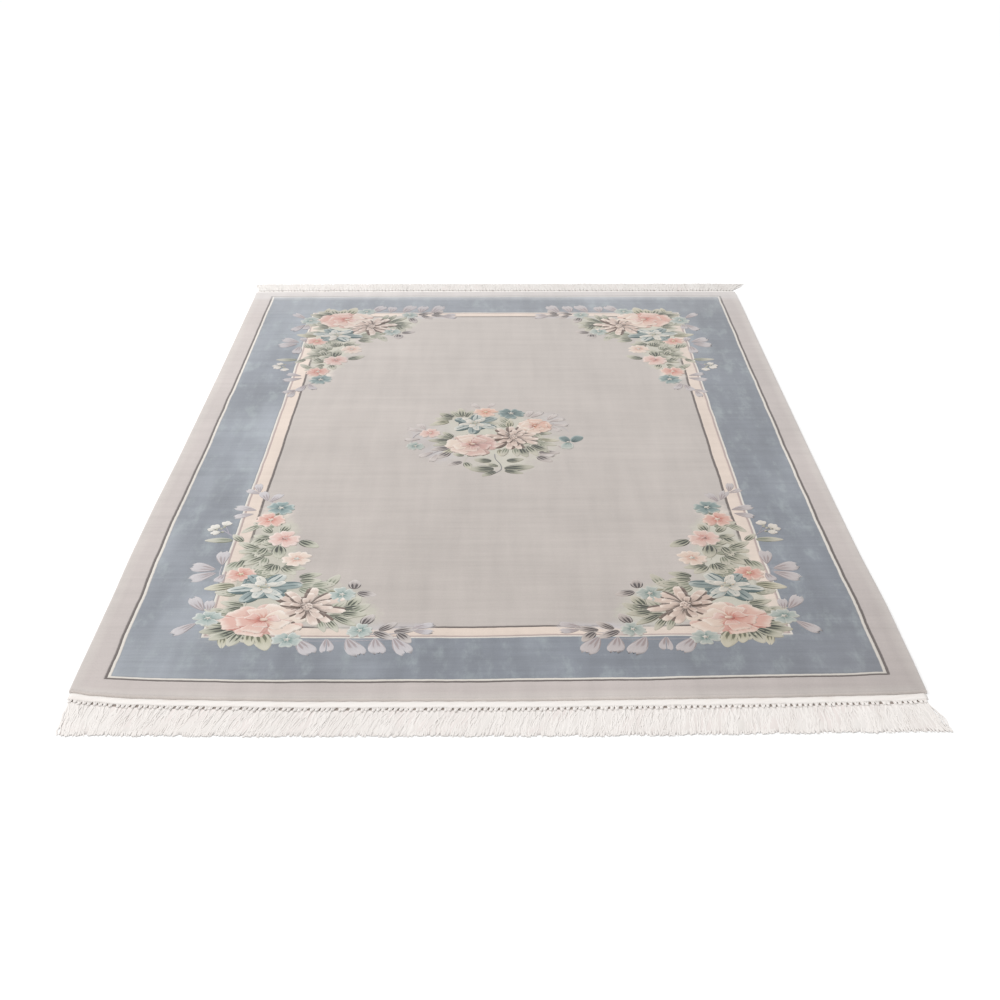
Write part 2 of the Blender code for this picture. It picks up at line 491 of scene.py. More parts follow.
def makePetalMaterial():
    material, tree, shader = newMaterial("petalSilk", **silkSettings)
    run, side, apart, hatch, (heart, body, rim) = readPetalPlace(tree)
    shade = timesPlus(tree, hatch, petalLook["heartHatch"], run)
    # painted light: the heart's dye gives way sooner on the petal's one side
    shade = timesPlus(tree, side, petalLook["heartSlant"], shade)
    shade = timesPlus(tree, apart, petalLook["heartSlant"], shade)
    colour = mixDyes(tree, smooth(tree, shade, *petalLook["heart"]), heart, body)
    edge = calc(tree, "MAXIMUM", apart, calc(tree, "POWER", run, petalLook["rimCurve"]))
    edge = timesPlus(tree, hatch, petalLook["rimHatch"], edge)
    # painted light: more of the rim's dye on that same side
    edge = timesPlus(tree, side, petalLook["rimSlant"], edge)
    colour = mixDyes(tree, smooth(tree, edge, *petalLook["rim"]), colour, rim)
    finishSilk(tree, shader, colour, **petalNap)
    return material


def makeLeafMaterial():
    # dark spikes run out from the leaf's root between pale veins, and fade towards its tip
    material, tree, shader = newMaterial("leafSilk", **silkSettings)
    run, side, apart, hatch, (heart, body, rim) = readPetalPlace(tree)
    wave = minus(tree, apart, leafLook["firstSpike"])
    wave = times(tree, wave, 2 * math.pi / leafLook["spikePitch"])
    blade = timesPlus(tree, calc(tree, "COSINE", wave), 0.5, 0.5)
    reach = timesPlus(tree, run, *leafLook["fade"])
    reach = timesPlus(tree, hatch, leafLook["fadeHatch"], reach)
    spike = plus(tree, times(tree, blade, leafLook["spikeShare"]), reach)
    spike = smooth(tree, spike, *leafLook["spike"])
    spike = times(tree, spike, smooth(tree, blade, *leafLook["gap"]))
    spike = times(tree, spike, smooth(tree, apart, *leafLook["edge"]))
    pale = calc(tree, "MAXIMUM", apart, run)
    pale = timesPlus(tree, hatch, leafLook["rimHatch"], pale)
    colour = mixDyes(tree, smooth(tree, pale, *leafLook["rim"]), body, rim)
    colour = mixDyes(tree, spike, colour, heart)
    finishSilk(tree, shader, colour, **petalNap)
    return material


groundMaterial = makeGroundMaterial()
backMaterial = makeBackMaterial()
petalMaterial = makePetalMaterial()
leafMaterial = makeLeafMaterial()
print("materials made")


def newMesh(name, points, faces, materials, faceSlots=None, attributes=None, flat=False):
    mesh = bpy.data.meshes.new(name)
    mesh.from_pydata(np.asarray(points).tolist(), [], faces)
    for material in materials:
        mesh.materials.append(material)
    if faceSlots is not None:
        mesh.polygons.foreach_set("material_index", np.asarray(faceSlots, dtype=np.int32))
    mesh.polygons.foreach_set("use_smooth", np.full(len(mesh.polygons), not flat))
    for label, (kind, values) in (attributes or {}).items():
        layer = mesh.attributes.new(label, kind, "POINT")
        field = "vector" if kind == "FLOAT_VECTOR" else "color"
        layer.data.foreach_set(field, np.asarray(values, dtype=np.float32).ravel())
    mesh.validate()
    mesh.update()
    made = bpy.data.objects.new(name, mesh)
    bpy.context.scene.collection.objects.link(made)
    return made


def gridFaces(rows, columns, first=0, flip=False):
    faces = []
    for row in range(rows - 1):
        for column in range(columns - 1):
            a = first + row * columns + column
            face = (a, a + 1, a + columns + 1, a + columns)
            faces.append(face[::-1] if flip else face)
    return faces


def gridRim(rows, columns):
    # the numbers of the points round a grid's edge, in order
    index = np.arange(rows * columns).reshape(rows, columns)
    return np.concatenate([index[0, :-1], index[:-1, -1], index[-1, :0:-1], index[:0:-1, 0]])


def newSlab(name, x, y, z, materials, flip=False, attributes=None):
    # a closed slab: a grid on top, the same grid on the floor under it, and the walls between
    rows, columns = x.shape
    top = np.stack([x, y, z], -1).reshape(-1, 3)
    points = np.concatenate([top, top * (1, 1, 0)])
    faces = gridFaces(rows, columns, flip=flip)
    under = gridFaces(rows, columns, first=rows * columns, flip=not flip)
    rim = gridRim(rows, columns)
    walls = []
    for here, there in zip(rim, np.roll(rim, -1)):
        wall = (int(here + rows * columns), int(there + rows * columns), int(there), int(here))
        walls.append(wall[::-1] if flip else wall)
    slots = [0] * len(faces) + [len(materials) - 1] * len(under) + [0] * len(walls)
    doubled = {
        label: (kind, np.concatenate([values, values]))
        for label, (kind, values) in (attributes or {}).items()
    }
    return newMesh(name, points, faces + under + walls, materials, slots, doubled)


# soft tints of the ground round each spray: across, along, half width, half length, dye, strength
sage, shell, lilac = dye(197, 193, 179), dye(222, 210, 199), dye(194, 188, 190)
cornerTints = (
    (60, 100, 120, 120, sage, 0.95), (50, 240, 75, 110, sage, 0.90),
    (45, 370, 75, 85, sage, 0.90), (60, 470, 55, 75, sage, 0.75), (45, 570, 45, 60, shell, 0.60),
    (190, 110, 120, 85, sage, 0.90), (270, 50, 75, 75, sage, 0.80), (20, -35, 80, 50, sage, 0.80),
    (335, -15, 90, 35, lilac, 0.75), (430, -5, 60, 25, lilac, 0.55),
    (-55, 270, 35, 50, lilac, 0.45),
)
middleTints = (
    (-20, 60, 170, 130, sage, 0.66), (20, -50, 170, 130, sage, 0.66),
    (20, -180, 110, 80, sage, 0.52), (120, -120, 70, 70, sage, 0.42),
    (-150, -100, 70, 80, lilac, 0.55), (-200, 20, 70, 90, lilac, 0.40),
    (160, 110, 60, 80, lilac, 0.45),
)


tintFade = dict(
    reach=1.35,  # where a tint ends, as a share of its half width
    curve=0.8,
    overBand=0.62,  # how much fainter it is over the border's bands
    bandReach=0.006,
)


def tintGround(x, y):
    # the tint stays faint over the border's bands, which show between the leaves
    across = rug["width"] / 2 - rug["innerLine"] - np.abs(x)
    along = rug["length"] / 2 - rug["innerLine"] - np.abs(y)
    total = np.zeros(x.shape)
    colour = np.zeros(x.shape + (3,))
    strongest = np.zeros(x.shape)
    for rows, u, w in ((cornerTints, across, along), (middleTints, x, y)):
        for atU, atW, halfU, halfW, tint, strength in inMetres(rows, 0, 1, 2, 3):
            reach = np.sqrt(((u - atU) / halfU) ** 2 + ((w - atW) / halfW) ** 2)
            share = strength * np.clip(tintFade["reach"] - reach, 0, 1) ** tintFade["curve"]
            total += share
            colour += share[..., None] * np.array(tint[:3])
            strongest = np.maximum(strongest, share)
    overBand = np.clip(-np.minimum(across, along) / tintFade["bandReach"], 0, 1)
    strongest *= 1 - tintFade["overBand"] * overBand
    average = colour / np.maximum(total, 1e-6)[..., None]
    return np.concatenate([average, strongest[..., None]], axis=-1)


rimRows = (0, 0.0005, 0.0013, 0.0025, 0.0040, 0.0060, 0.0095)


def gridPlaces(span):
    # close rows over the rounded rim, then an even pitch
    rim = np.array(rimRows)
    count = round((span - 2 * rim[-1]) / rug["pitch"])
    inner = np.linspace(rim[-1], span - rim[-1], count + 1)[1:-1]
    return np.concatenate([rim, inner, span - rim[::-1]]) - span / 2


def makePile():
    acrossPlaces, alongPlaces = gridPlaces(rug["width"]), gridPlaces(rug["length"])
    x, y = np.meshgrid(acrossPlaces, alongPlaces)
    fromEdge = np.minimum(rug["width"] / 2 - np.abs(x), rug["length"] / 2 - np.abs(y))
    round_ = np.sqrt(1 - (1 - np.clip(fromEdge / rug["rimRound"], 0, 1)) ** 2)
    z = rug["wallTop"] + (rug["pileTop"] - rug["wallTop"]) * round_
    z += rug["waver"] * round_ * (np.sin(x * 31 + 2.0 * np.sin(y * 9)) + np.sin(y * 23 + x * 7))
    tint = tintGround(x, y)
    z -= rug["recess"] * tint[..., 3] * round_
    floorX, floorY = onFloor(x, y)
    plan = np.stack([x, y, np.zeros_like(x)], -1).reshape(-1, 3)
    attributes = {
        "plan": ("FLOAT_VECTOR", plan),
        "groundTint": ("FLOAT_COLOR", tint.reshape(-1, 4)),
    }
    materials = [groundMaterial, backMaterial]
    return newSlab("carved_pile", floorX, floorY, z, materials, attributes=attributes)


pile = makePile()
print("pile laid")


# petals: each is a closed, domed cushion of pile standing on the ground
petal = dict(
    runs=(0, 0.035, 0.11, 0.22, 0.36, 0.50, 0.64, 0.78, 0.89, 0.965, 1),
    sides=(-1, -0.9, -0.66, -0.33, 0, 0.33, 0.66, 0.9, 1),
    shortRuns=(0, 0.12, 0.38, 0.66, 0.90, 1),
    shortSides=(-1, -0.72, 0, 0.72, 1),
    shortest=0.024,  # smaller ones are made of fewer faces
    foot=-0.0014,  # its edge, below the ground's level
    leastWidth=0.03,
    rootEase=0.10,  # the shares of its length in which it rises at its root and falls at its tip
    tipEase=0.14,
    veinWidth=0.15,
)
ringShape = dict(  # how petals of a ring differ, and the darker ones under them that paint a shadow at one side
    sway=7,
    stretch=0.07,
    underTurn=6,
    underDrop=0.0002,
    underLength=0.98,
    underWidth=1.03,
)
leafShape = dict(longer=1.12, wider=1.15, dome=0.0009, vein=0.0005, bend=0.10, level=0.0002, step=0.0001)
stemShape = dict(smoothings=3, tip=0.45, taper=6, level=0.0003, dome=0.0006)
thicket = dict(  # low leaves behind the flowers
    lengths=(0.044, 0.064),
    widths=(0.022, 0.032),
    turns=(-75, 75),
    bends=(-0.15, 0.15),
    level=0.0001,
    dyes=("sageLeaf", "leaf", "olive", "sageLeaf", "sageLeaf"),
    seed=4,
)
petalShapes = {  # how fast it widens, how bluntly it ends, notch at the tip, ripple of the edge
    "broad": (0.62, 0.27, 0.05, 0.030),
    "round": (0.50, 0.36, 0.00, 0.000),
    "heart": (0.62, 0.26, 0.13, 0.000),
    "pointed": (0.72, 0.62, 0.00, 0.000),
    "slender": (0.85, 0.50, 0.00, 0.000),
    "leaf": (0.62, 0.80, 0.00, 0.000),
    "ragged": (0.86, 0.36, 0.06, 0.055),
    "drop": (0.80, 0.40, 0.00, 0.000),
    "disc": (0.50, 0.50, 0.00, 0.000),
}


def newTufts():
    return dict(points=[], faces=[], slots=[], place=[], heart=[], body=[], rim=[], count=0)


def addCushion(tufts, x, y, z, run, side, dyes, leafy=False):
    # one closed body from a grid of points whose outermost ones lie at its foot
    rows, columns = x.shape
    first = tufts["count"]
    z = z.copy()
    z[0] = z[-1] = z[:, 0] = z[:, -1] = petal["foot"]
    faces = gridFaces(rows, columns, first, flip=True)
    faces.append(tuple(int(number) for number in gridRim(rows, columns) + first))
    tufts["faces"] += faces
    tufts["slots"] += [1 if leafy else 0] * len(faces)
    tufts["points"].append(np.stack([x, y, z], -1).reshape(-1, 3))
    seed = np.full(run.shape, (first * 0.37) % 17)
    tufts["place"].append(np.stack([run, side, seed], -1).reshape(-1, 3))
    for name, colour in zip(("heart", "body", "rim"), dyes):
        tufts[name].append(np.tile(colour, (rows * columns, 1)))
    tufts["count"] = first + rows * columns


def addPetal(tufts, u, w, angle, length, width, dyes, shape, level, dome=0.0010, bend=0.0,
             vein=0.0, leafy=False):
    # u, w is where it is rooted, and angle the way it points, in degrees from +u towards +w
    rise, fall, notch, ripple = petalShapes[shape]
    short = length < petal["shortest"]
    runs, sides = (petal["shortRuns"], petal["shortSides"]) if short else (petal["runs"], petal["sides"])
    run, side = np.meshgrid(runs, sides, indexing="ij")
    peak = rise / (rise + fall)
    share = run**rise * (1 - run) ** fall / (peak**rise * (1 - peak) ** fall)
    share = np.maximum(share, petal["leastWidth"])
    forward = length * run * (1 - notch * (1 - side**2) ** 3 * run**4)
    forward = forward + ripple * length * np.cos(3 * math.pi * side) * run**3
    sideways = width / 2 * share * side + bend * length * run**2
    turn = math.radians(angle)
    x = u + forward * math.cos(turn) - sideways * math.sin(turn)
    y = w + forward * math.sin(turn) + sideways * math.cos(turn)
    crown = (1 - np.abs(side) ** 3) ** 0.7
    rooted = np.clip(run / petal["rootEase"], 0, 1) ** 0.5
    crown = crown * rooted * np.clip((1 - run) / petal["tipEase"], 0, 1) ** 0.5
    z = level + dome * crown
    z = z - vein * np.exp(-((side / petal["veinWidth"]) ** 2)) * crown
    addCushion(tufts, x, y, z, run, side, dyes, leafy)


def addRing(tufts, u, w, radius, facing, ring, dyes, under=None, **more):
    # ring is how many petals, their turn, and their root, length and width as shares of the radius
    # each may lie over a darker one turned a little, a painted shadow at its one side
    count, turned, reach, length, width = ring
    start = facing + turned
    reach, length, width = reach * radius, length * radius, width * radius
    for number in range(count):
        angle = start + 360 * number / count + ringShape["sway"] * math.sin(number * 2.4 + start)
        ownLength = length * (1 + ringShape["stretch"] * math.sin(number * 3.7 + start))
        turn = math.radians(angle)
        root = (u + reach * math.cos(turn), w + reach * math.sin(turn))
        ownDyes = dyes(angle) if callable(dyes) else petalDyes[dyes]
        if under:
            below = dict(more, level=more["level"] - ringShape["underDrop"])
            shade = under(angle) if callable(under) else petalDyes[under]
            addPetal(tufts, *root, angle + ringShape["underTurn"], ownLength * ringShape["underLength"],
                     width * ringShape["underWidth"], shade, **below)
        addPetal(tufts, *root, angle, ownLength, width, ownDyes, **more)


def addButton(tufts, u, w, radius, dyes, level, dome=0.0008, squash=1.0):
    width = 2 * radius * squash
    addPetal(tufts, u - radius, w, 0.0, 2 * radius, width, petalDyes[dyes], "disc", level, dome)


# dyes of a petal from its heart to its body and rim; the Shadow rows are painted shadow, for the dark discs
# and petals under a flower that show between its petals
petalColours = dict(
    coral=((200, 122, 106), (222, 178, 165), (235, 214, 202)),
    coralBed=((178, 104, 92), (190, 122, 110), (206, 148, 136)),
    duskBed=((140, 96, 92), (160, 116, 110), (190, 148, 140)),
    orangeBed=((180, 102, 78), (196, 122, 96), (210, 150, 126)),
    blush=((206, 146, 136), (226, 196, 186), (236, 218, 210)),
    cream=((208, 164, 146), (230, 210, 196), (240, 228, 217)),
    dusk=((134, 88, 84), (206, 166, 158), (233, 211, 203)),
    orange=((208, 138, 112), (228, 190, 172), (235, 213, 200)),
    plume=((84, 66, 57), (206, 184, 172), (240, 226, 215)),
    plumePale=((104, 84, 74), (222, 203, 191), (245, 233, 223)),
    plumeBed=((82, 66, 57), (98, 80, 70), (126, 107, 96)),
    teal=((72, 96, 98), (120, 140, 141), (170, 182, 180)),
    tealTop=((72, 100, 102), (134, 155, 155), (188, 197, 192)),
    tealDark=((64, 88, 91), (110, 131, 132), (162, 178, 176)),
    tealBed=((56, 78, 82), (74, 96, 99), (104, 124, 125)),
    ice=((116, 136, 136), (192, 199, 195), (221, 221, 214)),
    white=((160, 164, 156), (216, 213, 204), (234, 229, 220)),
    aqua=((116, 141, 137), (177, 188, 183), (208, 211, 205)),
    lavender=((166, 160, 167), (186, 181, 186), (204, 200, 203)),
    lavenderDeep=((138, 132, 146), (162, 156, 168), (198, 193, 200)),
    leaf=((66, 73, 58), (168, 169, 149), (205, 202, 187)),
    leafDark=((48, 54, 43), (146, 149, 130), (199, 197, 181)),
    leafDeep=((38, 44, 34), (116, 120, 102), (190, 188, 172)),
    olive=((104, 105, 80), (184, 181, 157), (208, 204, 186)),
    sageLeaf=((120, 127, 107), (182, 182, 165), (201, 198, 184)),
    mauveLeaf=((72, 64, 64), (160, 151, 148), (204, 196, 192)),
    lavenderLeaf=((164, 151, 152), (190, 184, 187), (202, 197, 199)),
    hazeLeaf=((182, 171, 169), (205, 197, 194), (213, 206, 203)),
    bud=((206, 204, 194), (226, 222, 214), (236, 231, 224)),
    stem=((198, 197, 183), (203, 202, 188), (212, 210, 198)),
    stemDark=((112, 112, 118), (124, 124, 130), (150, 150, 154)),
    gold=((208, 186, 152), (226, 208, 180), (236, 222, 200)),
    core=((208, 168, 150), (228, 203, 186), (240, 226, 212)),
)
petalDyes = {name: [dye(*colour) for colour in row] for name, row in petalColours.items()}


def blendDyes(first, second, share):
    return tuple(
        tuple((1 - share) * a + share * b for a, b in zip(one, two))
        for one, two in zip(petalDyes[first], petalDyes[second])
    )


def facingDyes(first, second, facing, middle, swing, waves=1):
    # dyes that change from the first to the second with the way that a petal points
    def blend(angle):
        turn = math.radians(waves * (angle - facing))
        return blendDyes(first, second, middle + swing * math.cos(turn))

    return blend


def addPeony(tufts, u, w, radius, facing, near="coral", far="cream"):
    # deep dyes on the side that the flower turns away, cream ones on the side it faces
    bed = near + "Bed"
    guard = facingDyes(near, far, facing, 0.58, 0.6)
    cup = facingDyes(near, "blush", facing, 0.5, 0.5)
    shade = facingDyes(bed, far, facing, 0.36, 0.30)
    # a dark disc under the petals: painted shade that shows in the gaps between them
    addButton(tufts, u, w, 0.60 * radius, bed, 0.0001)
    addRing(tufts, u, w, radius, facing, (6, 0, 0.15, 0.87, 0.90), guard, shade,
            shape="broad", level=0.0004, dome=0.0013)
    addRing(tufts, u, w, radius, facing, (5, 26, 0.08, 0.64, 0.66), guard, shade,
            shape="broad", level=0.0012, dome=0.0012)
    addRing(tufts, u, w, radius, facing, (3, 8, 0.10, 0.36, 0.44), cup, bed,
            shape="heart", level=0.0020, dome=0.0010)
    # a dark ring round the core: painted shade
    addButton(tufts, u, w, 0.13 * radius, bed, 0.0021)
    addButton(tufts, u + 0.02 * radius, w + 0.02 * radius, 0.115 * radius, "core", 0.0024)


def addDahlia(tufts, u, w, radius, facing):
    quill = facingDyes("plume", "plumePale", facing, 0.5, 0.5)
    # a dark disc under the petals: painted shade between them, and each petal lies over a painted shadow
    addButton(tufts, u, w, 0.64 * radius, "plumeBed", 0.0001)
    for *ring, level in ((11, 0, 0.16, 0.90, 0.33, 0.0004), (8, 16, 0.12, 0.62, 0.28, 0.0012),
                         (5, 4, 0.08, 0.38, 0.21, 0.0019)):
        addRing(tufts, u, w, radius, facing, ring, quill, "plumeBed",
                shape="slender", level=level, dome=0.0012)
    addButton(tufts, u, w, 0.17 * radius, "plume", 0.0023, squash=1.25)
    for number in range(9):
        turn, reach = number * 2.4, 0.045 * radius * math.sqrt(number)
        addButton(tufts, u + reach * math.cos(turn), w + reach * math.sin(turn), 0.05 * radius,
                  "plumePale", 0.0028, 0.0005)


def addLily(tufts, u, w, radius, facing):
    # dark and pale sails by turns, with white petals over them
    sail = facingDyes("teal", "ice", facing, 0.60, -0.40, 3)
    veil = facingDyes("ice", "white", facing, 0.70, 0.4)
    # a dark disc under the petals: painted shade that shows between them
    addButton(tufts, u, w, 0.70 * radius, "tealBed", 0.0001)
    addRing(tufts, u, w, radius, facing, (6, 0, 0.12, 0.92, 0.47), sail, "tealBed",
            shape="pointed", level=0.0005, dome=0.0014, vein=0.0005)
    addRing(tufts, u, w, radius, facing, (5, 50, 0.06, 0.66, 0.34), veil, "teal",
            shape="pointed", level=0.0013, dome=0.0012, vein=0.0003)
    addRing(tufts, u, w, radius, facing, (4, 0, 0.03, 0.42, 0.30), "white",
            shape="pointed", level=0.0021, dome=0.0009)
    addButton(tufts, u, w, 0.13 * radius, "sageLeaf", 0.0025)
    for number in range(4):
        turn = math.radians(facing + 36 + 90 * number)
        addButton(tufts, u + 0.17 * radius * math.cos(turn), w + 0.17 * radius * math.sin(turn),
                  0.035 * radius, "gold", 0.0028, 0.0005)


def addBlossom(tufts, u, w, radius, facing, dyes, middle):
    addRing(tufts, u, w, radius, facing, (5, 0, 0.06, 0.96, 0.98), dyes,
            shape="heart", level=0.0006, dome=0.0011, vein=0.0003)
    addRing(tufts, u, w, radius, facing, (5, 36, 0.0, 0.26, 0.15), middle,
            shape="slender", level=0.0014, dome=0.0004)
    addButton(tufts, u, w, 0.17 * radius, middle, 0.0018)


def addLeaf(tufts, u, w, angle, length, width, dyes, bend, level):
    shape = "ragged" if dyes in ("lavenderLeaf", "hazeLeaf") else "leaf"
    length, width = length * leafShape["longer"], width * leafShape["wider"]
    addPetal(tufts, u, w, angle, length, width, petalDyes[dyes], shape, level, leafShape["dome"],
             bend, leafShape["vein"], leafy=True)


def addThicket(tufts, patches):
    # more leaves, low and scattered, that fill the ground behind the flowers
    draw = np.random.default_rng(thicket["seed"])
    for u, w, halfU, halfW, count, outward in inMetres(patches, 0, 1, 2, 3):
        for _ in range(count):
            reach, turn = math.sqrt(draw.random()), draw.random() * 2 * math.pi
            atU, atW = u + halfU * reach * math.cos(turn), w + halfW * reach * math.sin(turn)
            angle = outward + draw.uniform(*thicket["turns"])
            dyes = thicket["dyes"][int(draw.integers(len(thicket["dyes"])))]
            length, width = draw.uniform(*thicket["lengths"]), draw.uniform(*thicket["widths"])
            bend = draw.uniform(*thicket["bends"])
            addLeaf(tufts, atU, atW, angle, length, width, dyes, bend, thicket["level"])


def addBud(tufts, u, w, angle, length):
    for turn, share in ((-26, 0.86), (24, 0.86), (0, 1.0)):
        addPetal(tufts, u, w, angle + turn, length * share, length * 0.55, petalDyes["bud"],
                 "drop", 0.0007 + 0.0004 * share, 0.0009)
    addPetal(tufts, u, w, angle + 180, length * 0.35, length * 0.4, petalDyes["sageLeaf"],
             "pointed", 0.0009, 0.0006)


def addStem(tufts, points, width, dyes):
    # a slim ribbon of pile along a smoothed route
    places = np.linspace(0, len(points) - 1, 5 * len(points) - 4)
    line = np.stack([np.interp(places, range(len(points)), points[:, axis]) for axis in (0, 1)], -1)
    for _ in range(stemShape["smoothings"]):
        line[1:-1] = (line[:-2] + 2 * line[1:-1] + line[2:]) / 4
    ahead = np.gradient(line, axis=0)
    ahead /= np.hypot(ahead[:, 0], ahead[:, 1])[:, None]
    run, side = np.meshgrid(places / places[-1], petal["shortSides"], indexing="ij")
    fromTip = np.minimum(run, 1 - run)
    half = width / 2 * np.minimum(1, stemShape["tip"] + stemShape["taper"] * fromTip)
    x = line[:, :1] - ahead[:, 1:] * side * half
    y = line[:, 1:] + ahead[:, :1] * side * half
    z = stemShape["level"] + stemShape["dome"] * (1 - side**2) + 0 * run
    addCushion(tufts, x, y, z, 0.5 + 0 * run, side, petalDyes[dyes])


# a corner's spray, in millimetres from where the inner line would turn: +u across the rug, +w
# along it, both towards its middle
cornerFlowers = (  # what, u, w, radius, the way it faces, its length over its width, its dyes
    (addLily, 64, 180, 86, 125, 0.88, ()),
    (addDahlia, 176, 89, 90, 20, 0.94, ()),
    (addPeony, 82, 28, 96, 15, 0.80, ("coral", "cream")),
)
cornerBlossoms = (  # u, w, radius, turn, dyes, middle
    (-46, 36, 34, 20, "aqua", "white"), (148, -54, 34, 50, "aqua", "white"),
    (309, -16, 30, 10, "aqua", "white"), (254, 146, 34, 35, "aqua", "white"),
    (0, 244, 36, 15, "coral", "gold"), (22, 212, 15, 0, "teal", "ice"),
    (128, 322, 38, 40, "cream", "white"), (84, 428, 43, 5, "blush", "dusk"),
    (34, 534, 40, 30, "coral", "cream"), (52, 604, 38, 12, "tealTop", "white"),
)
cornerLeaves = (  # u, w, angle, length, width, dyes
    (46, 462, 127, 42, 22, "leaf"), (72, 468, 68, 42, 24, "leaf"), (48, 434, 166, 44, 24, "leaf"),
    (52, 566, 150, 34, 20, "leaf"), (124, 420, -38, 58, 34, "leafDark"),
    (76, 392, -88, 62, 36, "leafDark"), (26, 376, 152, 60, 28, "leaf"),
    (34, 366, 186, 52, 26, "sageLeaf"), (44, 382, -116, 52, 28, "leaf"),
    (48, 352, -153, 64, 30, "leafDark"), (46, 336, -132, 62, 28, "leaf"),
    (50, 330, -96, 46, 24, "sageLeaf"), (76, 296, -148, 52, 24, "leaf"),
    (78, 292, -118, 52, 24, "leafDark"), (80, 294, -88, 48, 24, "leaf"),
    (96, 282, -48, 50, 26, "leaf"), (98, 286, -18, 54, 26, "leafDark"),
    (100, 292, 14, 46, 24, "sageLeaf"), (142, 228, 24, 54, 28, "leafDark"),
    (146, 216, -8, 50, 26, "leaf"), (178, 190, 4, 52, 34, "sageLeaf"),
    (186, 176, -34, 54, 34, "sageLeaf"), (214, 160, -8, 42, 26, "olive"),
    (-6, 190, 188, 68, 34, "olive"), (4, 168, 208, 46, 26, "sageLeaf"),
    (26, 98, 172, 52, 26, "leaf"), (24, 88, 206, 50, 24, "leafDark"),
    (16, 6, 172, 66, 32, "leaf"), (14, -6, 197, 66, 34, "leafDeep"),
    (26, -16, 222, 62, 34, "leafDark"), (42, -22, 246, 60, 34, "leaf"),
    (62, -24, 272, 52, 32, "olive"), (80, -22, 294, 74, 42, "olive"),
    (256, 78, 16, 60, 28, "leafDeep"), (256, 64, -14, 58, 28, "leafDark"),
    (244, 48, -38, 64, 22, "leafDark"), (228, 36, -56, 60, 20, "leaf"),
    (212, 30, -72, 50, 18, "sageLeaf"), (-46, 420, 174, 66, 26, "sageLeaf"),
    (-20, 414, 130, 46, 22, "leaf"), (314, 10, 70, 46, 28, "mauveLeaf"),
    (280, 172, 86, 42, 30, "mauveLeaf"), (290, 158, -24, 46, 28, "mauveLeaf"),
    (-52, 290, 100, 66, 32, "lavenderLeaf"), (-64, 268, 168, 60, 44, "lavenderLeaf"),
    (-60, 252, 206, 64, 40, "lavenderLeaf"), (-40, 246, 250, 40, 24, "lavenderLeaf"),
    (-62, 70, 126, 66, 32, "lavenderLeaf"), (-50, 66, 96, 48, 24, "lavenderLeaf"),
    (-68, 16, 222, 64, 30, "lavenderLeaf"), (168, -50, -55, 70, 40, "lavenderLeaf"),
    (236, -48, -80, 54, 34, "lavenderLeaf"), (282, -46, -66, 74, 42, "lavenderLeaf"),
    (346, -46, -84, 62, 38, "lavenderLeaf"), (386, -44, -60, 74, 42, "lavenderLeaf"),
    (340, -20, -30, 56, 24, "mauveLeaf"), (352, -14, 36, 48, 22, "mauveLeaf"),
    (386, -20, 12, 56, 24, "mauveLeaf"), (396, -26, -48, 48, 26, "mauveLeaf"),
    (424, -8, 22, 52, 22, "lavenderLeaf"), (430, -16, -14, 42, 22, "lavenderLeaf"),
    (10, 648, 112, 56, 26, "lavenderLeaf"), (18, 640, 70, 50, 24, "lavenderLeaf"),
    (-10, 590, 160, 58, 30, "lavenderLeaf"), (-14, 570, 196, 50, 26, "lavenderLeaf"),
    (-20, 700, 104, 50, 22, "lavenderLeaf"), (-16, 690, 152, 44, 22, "lavenderLeaf"),
)
cornerBuds = ((-92, 488, 150, 28), (-86, 466, 196, 26), (-80, 500, 80, 28), (-102, 480, 176, 22))
cornerStems = (  # width, dyes, route
    (4.5, "lavenderDeep", ((-30, 420), (-55, 450), (-78, 474), (-96, 488))),
    (3.5, "lavenderDeep", ((-62, 458), (-70, 480), (-80, 502))),
    (4, "stem", ((60, 590), (46, 540), (70, 470), (64, 390), (86, 300))),
    (4, "stem", ((86, 300), (70, 250), (30, 140), (30, 30))),
    (3.5, "lavender", ((296, -34), (340, -30), (390, -30), (450, 0))),
    (3.5, "lavender", ((-40, 200), (-54, 250), (-52, 292))),
    (3.5, "lavender", ((46, 620), (10, 650), (-16, 690), (-28, 740))),
    (3, "lavender", ((160, -58), (250, -60), (350, -56), (400, -52))),
)

